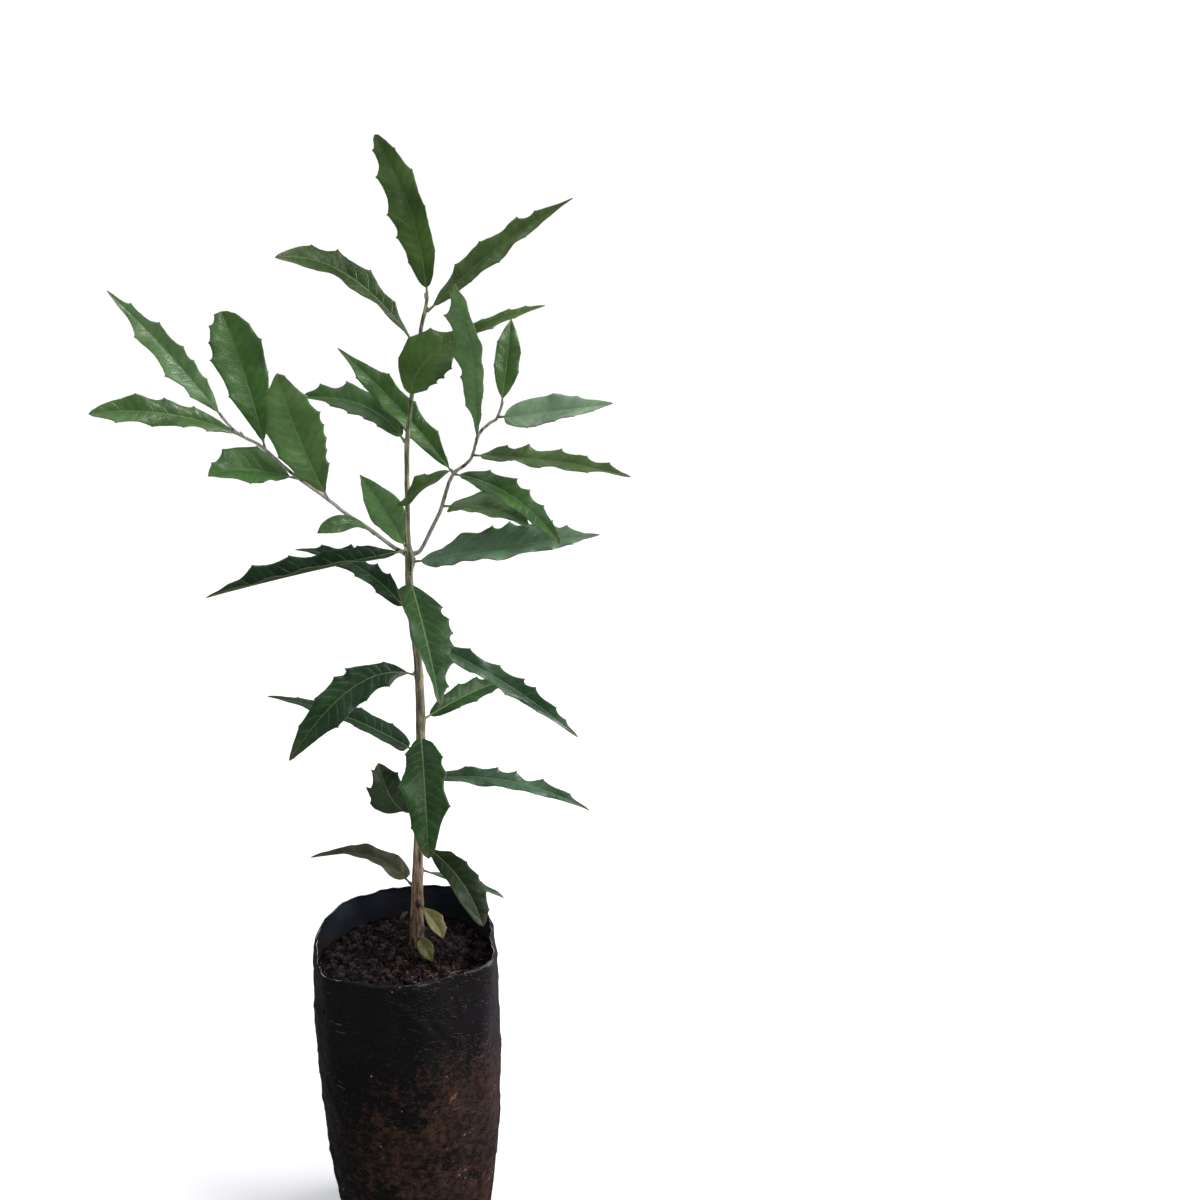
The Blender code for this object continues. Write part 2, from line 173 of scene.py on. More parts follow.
def mixColour(tree, amount, first, second, blend="MIX"):
    node = addNode(tree, "ShaderNodeMix", data_type="RGBA", blend_type=blend)
    factor, a, b = node.inputs["Factor"], node.inputs[6], node.inputs[7]
    for socket, value in ((factor, amount), (a, first), (b, second)):
        if isinstance(value, bpy.types.NodeSocket):
            tree.links.new(value, socket)
        elif socket is factor:
            socket.default_value = value
        else:
            socket.default_value = (*value, 1.0)
    return node.outputs[2]


def noiseNode(tree, vector, scale, detail=4.0, rough=0.55):
    node = addNode(tree, "ShaderNodeTexNoise")
    tree.links.new(vector, node.inputs["Vector"])
    node.inputs["Scale"].default_value = scale
    node.inputs["Detail"].default_value = detail
    node.inputs["Roughness"].default_value = rough
    return node.outputs["Fac"]


def newGroup(name, inputs, outputs):
    group = bpy.data.node_groups.new(name, "ShaderNodeTree")
    for title, kind in inputs:
        group.interface.new_socket(name=title, in_out="INPUT", socket_type=kind)
    for title, kind in outputs:
        group.interface.new_socket(name=title, in_out="OUTPUT", socket_type=kind)
    return group, group.nodes.new("NodeGroupInput"), group.nodes.new("NodeGroupOutput")


def placeGroup(tree, group, **values):
    node = addNode(tree, "ShaderNodeGroup", node_tree=group)
    for key, value in values.items():
        socket = node.inputs[key]
        if isinstance(value, bpy.types.NodeSocket):
            tree.links.new(value, socket)
        elif isinstance(value, tuple):
            socket.default_value = (*value, 1.0)
        else:
            socket.default_value = value
    return node


veinLook = {
    "pitch": 14.5,         # side veins in 100 mm of blade
    "slant": 0.50,         # how far each runs forward for its way out from the midrib
    "curve": 3.2,          # and how much more so towards the margin
    "waver": 0.22,
    "waverPer100": 21.0,
    "sideWidth": 0.060,    # of the pitch
    "midrib": 0.0034,      # half width, in units of 100 mm
    "net": 75.0,           # cells of the fine net in 100 mm
}


def buildVeinGroup():
    # works in the flat map: U and V are distances from the midrib and from the foot, 1 for 100 mm
    group, given, result = newGroup(
        "leafVeins",
        [("Flat", "NodeSocketVector"), ("Blade", "NodeSocketVector")],
        [("Midrib", "NodeSocketFloat"), ("Side Veins", "NodeSocketFloat"), ("Net", "NodeSocketFloat"),
         ("Margin", "NodeSocketFloat"), ("Tip", "NodeSocketFloat"), ("Painted Quilt Shade", "NodeSocketFloat")],
    )
    split = addNode(group, "ShaderNodeSeparateXYZ")
    group.links.new(given.outputs["Flat"], split.inputs[0])
    away = mathNode(group, "ABSOLUTE", split.outputs[0])
    along = split.outputs[1]
    rim = addNode(group, "ShaderNodeSeparateXYZ")
    group.links.new(given.outputs["Blade"], rim.inputs[0])
    edge = mathNode(group, "MULTIPLY", mathNode(group, "ABSOLUTE", mathNode(group, "SUBTRACT", rim.outputs[0], 0.5)), 2.0)
    swerve = mathNode(group, "SINE", mathNode(group, "MULTIPLY", along, veinLook["waverPer100"]))
    drift = mathNode(group, "MULTIPLY", swerve, veinLook["waver"])
    slope = mathNode(group, "ADD", mathNode(group, "MULTIPLY", away, veinLook["curve"]), veinLook["slant"])
    forward = mathNode(group, "MULTIPLY", away, slope)
    lane = mathNode(group, "MULTIPLY", mathNode(group, "SUBTRACT", along, forward), veinLook["pitch"])
    # the two halves are half a pitch apart
    half = mathNode(group, "MULTIPLY", mathNode(group, "GREATER_THAN", split.outputs[0], 0.0), 0.5)
    lane = mathNode(group, "ADD", mathNode(group, "ADD", lane, half), drift)
    swing = mathNode(group, "PINGPONG", lane, 0.5)
    near = rangeNode(group, swing, 0.0, veinLook["sideWidth"], 1.0, 0.0)
    fade = rangeNode(group, edge, 0.55, 1.0, 1.0, 0.2)
    cells = addNode(group, "ShaderNodeTexVoronoi", feature="DISTANCE_TO_EDGE")
    group.links.new(given.outputs["Flat"], cells.inputs["Vector"])
    cells.inputs["Scale"].default_value = veinLook["net"]
    slim = rangeNode(group, rim.outputs[1], 0.55, 1.0, veinLook["midrib"], veinLook["midrib"] * 0.3)
    core = mathNode(group, "DIVIDE", away, slim)
    group.links.new(rangeNode(group, core, 0.7, 1.5, 1.0, 0.0), result.inputs["Midrib"])
    group.links.new(mathNode(group, "MULTIPLY", near, fade), result.inputs["Side Veins"])
    group.links.new(rangeNode(group, cells.outputs["Distance"], 0.0, 0.12, 1.0, 0.0), result.inputs["Net"])
    group.links.new(rangeNode(group, edge, 0.93, 1.0), result.inputs["Margin"])
    # painted shade mask: highest midway between the side veins
    group.links.new(rangeNode(group, swing, 0.12, 0.46), result.inputs["Painted Quilt Shade"])
    group.links.new(rangeNode(group, rim.outputs[1], 0.88, 1.0), result.inputs["Tip"])
    return group


def buildDustGroup():
    # where fine soil clings: patchy, and heavier below the given height
    group, given, result = newGroup(
        "clingingDust",
        [("Place", "NodeSocketVector"), ("Top", "NodeSocketFloat"), ("Bottom", "NodeSocketFloat"),
         ("Scale", "NodeSocketFloat"), ("Bare", "NodeSocketFloat")],
        [("Mask", "NodeSocketFloat"), ("Specks", "NodeSocketFloat"), ("Grains", "NodeSocketFloat")],
    )
    split = addNode(group, "ShaderNodeSeparateXYZ")
    group.links.new(given.outputs["Place"], split.inputs[0])
    height = addNode(group, "ShaderNodeMapRange", interpolation_type="SMOOTHSTEP")
    group.links.new(split.outputs[2], height.inputs["Value"])
    group.links.new(given.outputs["Bottom"], height.inputs["From Min"])
    group.links.new(given.outputs["Top"], height.inputs["From Max"])
    height.inputs["To Min"].default_value = 1.0
    height.inputs["To Max"].default_value = 0.0
    patches = addNode(group, "ShaderNodeTexNoise")
    group.links.new(given.outputs["Place"], patches.inputs["Vector"])
    group.links.new(given.outputs["Scale"], patches.inputs["Scale"])
    patches.inputs["Detail"].default_value = 6.0
    patches.inputs["Roughness"].default_value = 0.62
    above = mathNode(group, "SUBTRACT", patches.outputs["Fac"], given.outputs["Bare"])
    mask = mathNode(group, "MULTIPLY", rangeNode(group, above, 0.0, 0.24), height.outputs["Result"])
    fine = addNode(group, "ShaderNodeTexNoise")
    group.links.new(given.outputs["Place"], fine.inputs["Vector"])
    group.links.new(mathNode(group, "MULTIPLY", given.outputs["Scale"], 14.0), fine.inputs["Scale"])
    fine.inputs["Detail"].default_value = 3.0
    group.links.new(mask, result.inputs["Mask"])
    group.links.new(rangeNode(group, fine.outputs["Fac"], 0.60, 0.70), result.inputs["Specks"])
    group.links.new(rangeNode(group, fine.outputs["Fac"], 0.70, 0.76), result.inputs["Grains"])
    return group


def colourStep(group, amount, first, second, share=1.0):
    if share != 1.0:
        amount = mathNode(group, "MULTIPLY", amount, share)
    return mixColour(group, amount, first, second)


def buildLeafGroup():
    # blotched green with veins, and the height of its fine relief
    group, given, result = newGroup(
        "leafSkin",
        [("Flat", "NodeSocketVector"), ("Blade", "NodeSocketVector"), ("Place", "NodeSocketVector"),
         ("Dark", "NodeSocketColor"), ("Light", "NodeSocketColor"), ("Vein", "NodeSocketColor"),
         ("Veins", "NodeSocketFloat"), ("Relief", "NodeSocketFloat"), ("Gloss", "NodeSocketFloat")],
        [("Colour", "NodeSocketColor"), ("Roughness", "NodeSocketFloat"), ("Height", "NodeSocketFloat")],
    )
    take = given.outputs
    marks = placeGroup(group, leafVeins, Flat=take["Flat"], Blade=take["Blade"]).outputs
    cloud = noiseNode(group, take["Place"], 34.0, 4.0, 0.6)
    fleck = noiseNode(group, take["Place"], 520.0, 4.0, 0.65)
    colour = mixColour(group, rangeNode(group, cloud, 0.30, 0.70), take["Dark"], take["Light"])
    colour = colourStep(group, rangeNode(group, fleck, 0.45, 0.85, 0.0, 0.28), colour, take["Vein"])
    # painted shade: the blade is darkened midway between the side veins, where the quilted swelling lies in shade
    colour = colourStep(group, marks["Painted Quilt Shade"], colour, take["Dark"], 0.30)
    strength = mathNode(group, "MULTIPLY", marks["Midrib"], take["Veins"])
    for name, share in (("Net", 0.09), ("Side Veins", 0.36), ("Margin", 0.42)):
        colour = colourStep(group, mathNode(group, "MULTIPLY", marks[name], take["Veins"]), colour, take["Vein"], share)
    colour = colourStep(group, marks["Tip"], colour, (0.130, 0.100, 0.045), 0.22)
    colour = colourStep(group, strength, colour, take["Vein"], 0.75)
    group.links.new(colour, result.inputs["Colour"])
    uneven = mathNode(group, "MULTIPLY", mathNode(group, "SUBTRACT", cloud, 0.5), 0.30)
    group.links.new(mathNode(group, "ADD", take["Gloss"], uneven), result.inputs["Roughness"])
    ribs = mathNode(group, "ADD", marks["Side Veins"], mathNode(group, "MULTIPLY", marks["Net"], 0.30))
    raised = mathNode(group, "MULTIPLY", ribs, take["Relief"])
    for source, share in ((cloud, 1.5), (fleck, 0.25)):
        raised = mathNode(group, "ADD", raised, mathNode(group, "MULTIPLY", source, share))
    group.links.new(raised, result.inputs["Height"])
    return group


def buildBarkGroup():
    # grain that runs along the limb, with darker cracks and pale pores
    group, given, result = newGroup(
        "barkSkin",
        [("Place", "NodeSocketVector"), ("Ground", "NodeSocketColor"), ("Pale", "NodeSocketColor"),
         ("Crack", "NodeSocketColor"), ("Pore", "NodeSocketColor")],
        [("Colour", "NodeSocketColor"), ("Roughness", "NodeSocketFloat"), ("Height", "NodeSocketFloat")],
    )
    take = given.outputs
    stretch = addNode(group, "ShaderNodeMapping")
    stretch.inputs["Scale"].default_value = (1.0, 1.0, 0.11)
    group.links.new(take["Place"], stretch.inputs["Vector"])
    grain = noiseNode(group, stretch.outputs[0], 480.0, 7.0, 0.70)
    colour = mixColour(group, rangeNode(group, grain, 0.48, 0.64, 0.0, 0.85), take["Ground"], take["Pale"])
    colour = mixColour(group, rangeNode(group, grain, 0.47, 0.38, 0.0, 0.95), colour, take["Crack"])
    dots = addNode(group, "ShaderNodeTexVoronoi", feature="F1")
    group.links.new(take["Place"], dots.inputs["Vector"])
    dots.inputs["Scale"].default_value = 330.0
    pores = rangeNode(group, dots.outputs["Distance"], 0.10, 0.22, 0.7, 0.0)
    colour = mixColour(group, pores, colour, take["Pore"])
    group.links.new(colour, result.inputs["Colour"])
    group.links.new(rangeNode(group, grain, 0.2, 0.8, 0.50, 0.80), result.inputs["Roughness"])
    group.links.new(mathNode(group, "ADD", grain, mathNode(group, "MULTIPLY", pores, 0.4)), result.inputs["Height"])
    return group


def buildEarthGroup():
    # crumbly earth: broad clumps of tone and fine grit
    group, given, result = newGroup(
        "earthSkin",
        [("Place", "NodeSocketVector"), ("Dark", "NodeSocketColor"), ("Light", "NodeSocketColor"),
         ("Grit", "NodeSocketColor")],
        [("Colour", "NodeSocketColor"), ("Height", "NodeSocketFloat")],
    )
    take = given.outputs
    broad = noiseNode(group, take["Place"], 170.0, 5.0, 0.62)
    fine = noiseNode(group, take["Place"], 800.0, 4.0, 0.7)
    colour = mixColour(group, rangeNode(group, broad, 0.38, 0.72), take["Dark"], take["Light"])
    colour = mixColour(group, rangeNode(group, fine, 0.56, 0.80, 0.0, 0.7), colour, take["Grit"])
    group.links.new(colour, result.inputs["Colour"])
    group.links.new(mathNode(group, "ADD", broad, fine), result.inputs["Height"])
    return group


leafVeins = buildVeinGroup()
clingingDust = buildDustGroup()
leafSkin = buildLeafGroup()
barkSkin = buildBarkGroup()
earthSkin = buildEarthGroup()


def newMaterial(name, roughness=0.5):
    material = bpy.data.materials.new(name)
    material.use_nodes = True
    tree = material.node_tree
    shader = tree.nodes["Principled BSDF"]
    shader.inputs["Roughness"].default_value = roughness
    return material, tree, shader


def addBump(tree, shader, height, strength, distance):
    bump = addNode(tree, "ShaderNodeBump")
    bump.inputs["Strength"].default_value = strength
    bump.inputs["Distance"].default_value = distance
    tree.links.new(height, bump.inputs["Height"])
    tree.links.new(bump.outputs[0], shader.inputs["Normal"])


# Leaf finishes: an upper and an under side for each tint, and the hard pale margin

leafTints = {
    # upper side, veins, under side, how much the upper side shines, and how plain the veins are
    "deep": ((0.010, 0.036, 0.012), (0.075, 0.130, 0.050), (0.036, 0.064, 0.027), 0.24, 1.3),
    "blue": ((0.032, 0.088, 0.038), (0.088, 0.150, 0.072), (0.052, 0.082, 0.040), 0.50, 1.2),
    "mid": ((0.013, 0.043, 0.010), (0.085, 0.145, 0.050), (0.050, 0.080, 0.031), 0.14, 1.3),
    "fresh": ((0.036, 0.108, 0.017), (0.085, 0.180, 0.052), (0.074, 0.125, 0.040), 0.42, 0.7),
    "olive": ((0.046, 0.102, 0.018), (0.074, 0.130, 0.036), (0.070, 0.100, 0.036), 0.32, 0.6),
    "pale": ((0.056, 0.138, 0.028), (0.110, 0.210, 0.070), (0.100, 0.160, 0.060), 0.60, 0.7),
    # paintedsheen: colours painted pale to stand in for the sheen that light puts on this leaf's upper face
    "bright": ((0.195, 0.335, 0.185), (0.225, 0.370, 0.205), (0.160, 0.250, 0.130), 0.90, 0.7),
    # paintedlight: colours painted lighter to stand in for light on leaves that face away from the lamps
    "paintedlight": ((0.092, 0.200, 0.066), (0.140, 0.250, 0.105), (0.110, 0.170, 0.075), 0.60, 0.7),
    "light": ((0.072, 0.138, 0.034), (0.110, 0.180, 0.062), (0.090, 0.125, 0.050), 0.40, 0.7),
    # slatesheen: a grey-green of its own, made lighter by a painted sheen on the upper face
    "slatesheen": ((0.076, 0.166, 0.084), (0.122, 0.196, 0.112), (0.060, 0.090, 0.050), 0.60, 1.1),
    "grey": ((0.008, 0.019, 0.006), (0.050, 0.074, 0.034), (0.032, 0.052, 0.024), 0.10, 1.2),
    "moss": ((0.027, 0.062, 0.011), (0.064, 0.114, 0.030), (0.064, 0.094, 0.034), 0.22, 0.7),
    "dusk": ((0.040, 0.046, 0.021), (0.078, 0.086, 0.040), (0.074, 0.078, 0.043), 0.25, 0.7),
    "dull": ((0.112, 0.118, 0.036), (0.130, 0.130, 0.044), (0.092, 0.096, 0.042), 0.25, 0.7),
}
leafGloss = {"upper": 0.31, "under": 0.60, "underSheen": 0.20, "dark": 0.62, "light": (1.38, 1.24, 1.20)}


def leafSide(name, base, vein, roughness, sheen, veins, relief):
    material, tree, shader = newMaterial(name, roughness)
    shader.inputs["Specular IOR Level"].default_value = sheen
    flat = addNode(tree, "ShaderNodeUVMap", uv_map="flat").outputs[0]
    bladeMap = addNode(tree, "ShaderNodeUVMap", uv_map="blade").outputs[0]
    place = addNode(tree, "ShaderNodeTexCoord").outputs["Object"]
    darker = tuple(leafGloss["dark"] * c for c in base)
    lighter = tuple(k * c for k, c in zip(leafGloss["light"], base))
    skin = placeGroup(tree, leafSkin, Flat=flat, Blade=bladeMap, Place=place, Dark=darker, Light=lighter,
                      Vein=vein, Veins=veins, Relief=relief, Gloss=roughness).outputs
    tree.links.new(skin["Colour"], shader.inputs["Base Color"])
    tree.links.new(skin["Roughness"], shader.inputs["Roughness"])
    addBump(tree, shader, skin["Height"], 0.5, 0.0004)
    return material


def leafFinishes():
    finishes = {}
    for tint, (base, vein, under, sheen, veins) in leafTints.items():
        upper = leafSide("leafUpper" + tint.title(), base, vein, leafGloss["upper"], sheen, veins, -1.0)
        lower = leafSide("leafUnder" + tint.title(), under, tuple(1.25 * c for c in under), leafGloss["under"],
                         leafGloss["underSheen"], 0.9, 1.0)
        finishes[tint] = (upper, lower)
    margin, tree, shader = newMaterial("leafMargin", 0.55)
    place = addNode(tree, "ShaderNodeTexCoord").outputs["Object"]
    colour = mixColour(tree, noiseNode(tree, place, 260.0), (0.050, 0.074, 0.028), (0.100, 0.112, 0.048))
    tree.links.new(colour, shader.inputs["Base Color"])
    return finishes, margin


# Bark and green twigs

barkLook = {
    "earth": (0.060, 0.038, 0.026),
    "brown": (0.190, 0.122, 0.074),
    "olive": (0.080, 0.086, 0.040),
    "green": (0.074, 0.102, 0.038),
    "stops": (0.228, 0.262, 0.400, 0.560),   # heights in metres where each takes over
    "pale": (0.420, 0.310, 0.215),
    "crack": (0.016, 0.009, 0.006),
    "pore": (0.230, 0.205, 0.150),
    "twig": ((0.150, 0.140, 0.110), (0.240, 0.220, 0.190)),
    "twigPale": (0.340, 0.310, 0.280),
    "scar": (0.0085, 0.0165, 0.2625),
    "scarColour": (0.016, 0.009, 0.006),
}


def barkFinish(name):
    # the stem: earthy foot, brown, olive, then green towards the top, with a dark scar low in front
    material, tree, shader = newMaterial(name, 0.66)
    place = addNode(tree, "ShaderNodeTexCoord").outputs["Object"]
    split = addNode(tree, "ShaderNodeSeparateXYZ")
    tree.links.new(place, split.inputs[0])
    blotch = noiseNode(tree, place, 130.0, 4.0)
    shift = mathNode(tree, "MULTIPLY", mathNode(tree, "SUBTRACT", blotch, 0.5), 0.10)
    level = mathNode(tree, "ADD", split.outputs[2], shift)
    low, first, second, third = barkLook["stops"]
    colour = mixColour(tree, rangeNode(tree, level, low, first), barkLook["earth"], barkLook["brown"])
    colour = mixColour(tree, rangeNode(tree, level, first, second), colour, barkLook["olive"])
    colour = mixColour(tree, rangeNode(tree, level, second, third), colour, barkLook["green"])
    skin = placeGroup(tree, barkSkin, Place=place, Ground=colour, Pale=barkLook["pale"], Crack=barkLook["crack"],
                      Pore=barkLook["pore"]).outputs
    away = addNode(tree, "ShaderNodeVectorMath", operation="SUBTRACT")
    tree.links.new(place, away.inputs[0])
    away.inputs[1].default_value = barkLook["scar"]
    flatten = addNode(tree, "ShaderNodeVectorMath", operation="MULTIPLY")
    tree.links.new(away.outputs[0], flatten.inputs[0])
    flatten.inputs[1].default_value = (1.0, 0.6, 0.45)
    reach = addNode(tree, "ShaderNodeVectorMath", operation="LENGTH")
    tree.links.new(flatten.outputs[0], reach.inputs[0])
    ragged = mathNode(tree, "ADD", reach.outputs["Value"], mathNode(tree, "MULTIPLY", blotch, 0.002))
    scar = rangeNode(tree, ragged, 0.0022, 0.0034, 0.9, 0.0)
    tree.links.new(mixColour(tree, scar, skin["Colour"], barkLook["scarColour"]), shader.inputs["Base Color"])
    tree.links.new(skin["Roughness"], shader.inputs["Roughness"])
    addBump(tree, shader, mathNode(tree, "SUBTRACT", skin["Height"], scar), 0.8, 0.0006)
    return material


def twigFinish(name):
    material, tree, shader = newMaterial(name, 0.62)
    place = addNode(tree, "ShaderNodeTexCoord").outputs["Object"]
    ground = mixColour(tree, rangeNode(tree, noiseNode(tree, place, 90.0), 0.35, 0.65), *barkLook["twig"])
    skin = placeGroup(tree, barkSkin, Place=place, Ground=ground, Pale=barkLook["twigPale"], Crack=barkLook["crack"],
                      Pore=barkLook["pore"]).outputs
    tree.links.new(skin["Colour"], shader.inputs["Base Color"])
    tree.links.new(skin["Roughness"], shader.inputs["Roughness"])
    addBump(tree, shader, skin["Height"], 0.6, 0.0004)
    return material


# Leaf plans and limbs as in the solids, with each blade's own teeth and tint.
# A blade's left is on the left of someone who looks from its foot to its tip with its upper face up.
# teeth: the left margin's, then the right's, each with its share of the way along and its height.
# spine: how far the tip is drawn out to a thread.

LeafPlan = namedtuple(
    "LeafPlan", "name at tip lift width roll form tint teeth sway fold twist peak side ruffle spine"
)
LeafPlan.__new__.__defaults__ = (((), ()), 0, 18, 0, 0.5, None, 1.0, 1.4)

stemPoints = (
    (6.3, 20.9, 227.0, 7.4),
    (6.3, 20.9, 230.0, 5.9),
    (6.2, 20.9, 236.0, 5.2),
    (7.0, 21.1, 250.0, 4.7),
    (9.0, 20.4, 287.0, 3.7),
    (12.5, 20.4, 340.0, 3.3),
    (15.4, 21.2, 398.0, 3.15),
    (15.6, 21.6, 440.0, 2.8),
    (12.9, 20.9, 487.0, 2.6),
    (12.4, 20.6, 505.0, 2.7),
    (13.4, 20.9, 516.0, 3.1),
    (12.6, 21.0, 526.0, 1.9),
    (13.4, 21.3, 555.0, 1.6),
    (14.8, 21.3, 590.0, 1.5),
    (19.2, 20.8, 622.0, 1.4),
    (26.0, 20.6, 661.0, 1.2),
    (29.4, 20.9, 675.0, 1.1),
    (30.8, 21.2, 682.0, 0.9),
)
leftBoughPoints = (
    (9.4, 21.3, 519.3, 1.5),
    (2.8, 20.0, 524.0, 1.3),
    (-12.4, 15.0, 539.0, 1.2),
    (-24.7, 12.4, 549.0, 1.15),
    (-31.0, 11.4, 555.2, 1.1),
)
rightBoughPoints = (
    (16.3, 21.3, 518.6, 1.5),
    (20.5, 22.6, 520.9, 1.3),
    (27.2, 24.0, 533.6, 1.2),
    (31.6, 24.9, 542.2, 1.2),
)
leftTwigPoints = (
    (-31.5, 11.3, 555.6, 1.1),
    (-37.8, 10.0, 561.5, 1.1),
    (-55.2, 6.0, 577.3, 1.0),
    (-71.0, 3.0, 594.5, 1.0),
    (-80.4, 1.0, 601.0, 0.95),
    (-86.8, 0.5, 606.0, 0.9),
    (-93.0, 0.2, 614.0, 0.85),
)
rightTwigPoints = (
    (31.8, 25.0, 542.9, 1.2),
    (33.8, 25.6, 546.8, 1.25),
    (40.9, 28.0, 567.4, 1.15),
    (50.2, 29.0, 575.6, 1.05),
    (54.1, 29.5, 580.6, 1.0),
    (58.8, 30.0, 594.7, 1.0),
    (65.7, 31.0, 601.5, 0.95),
    (70.1, 31.5, 604.6, 0.9),
    (74.0, 32.0, 614.7, 0.85),
)

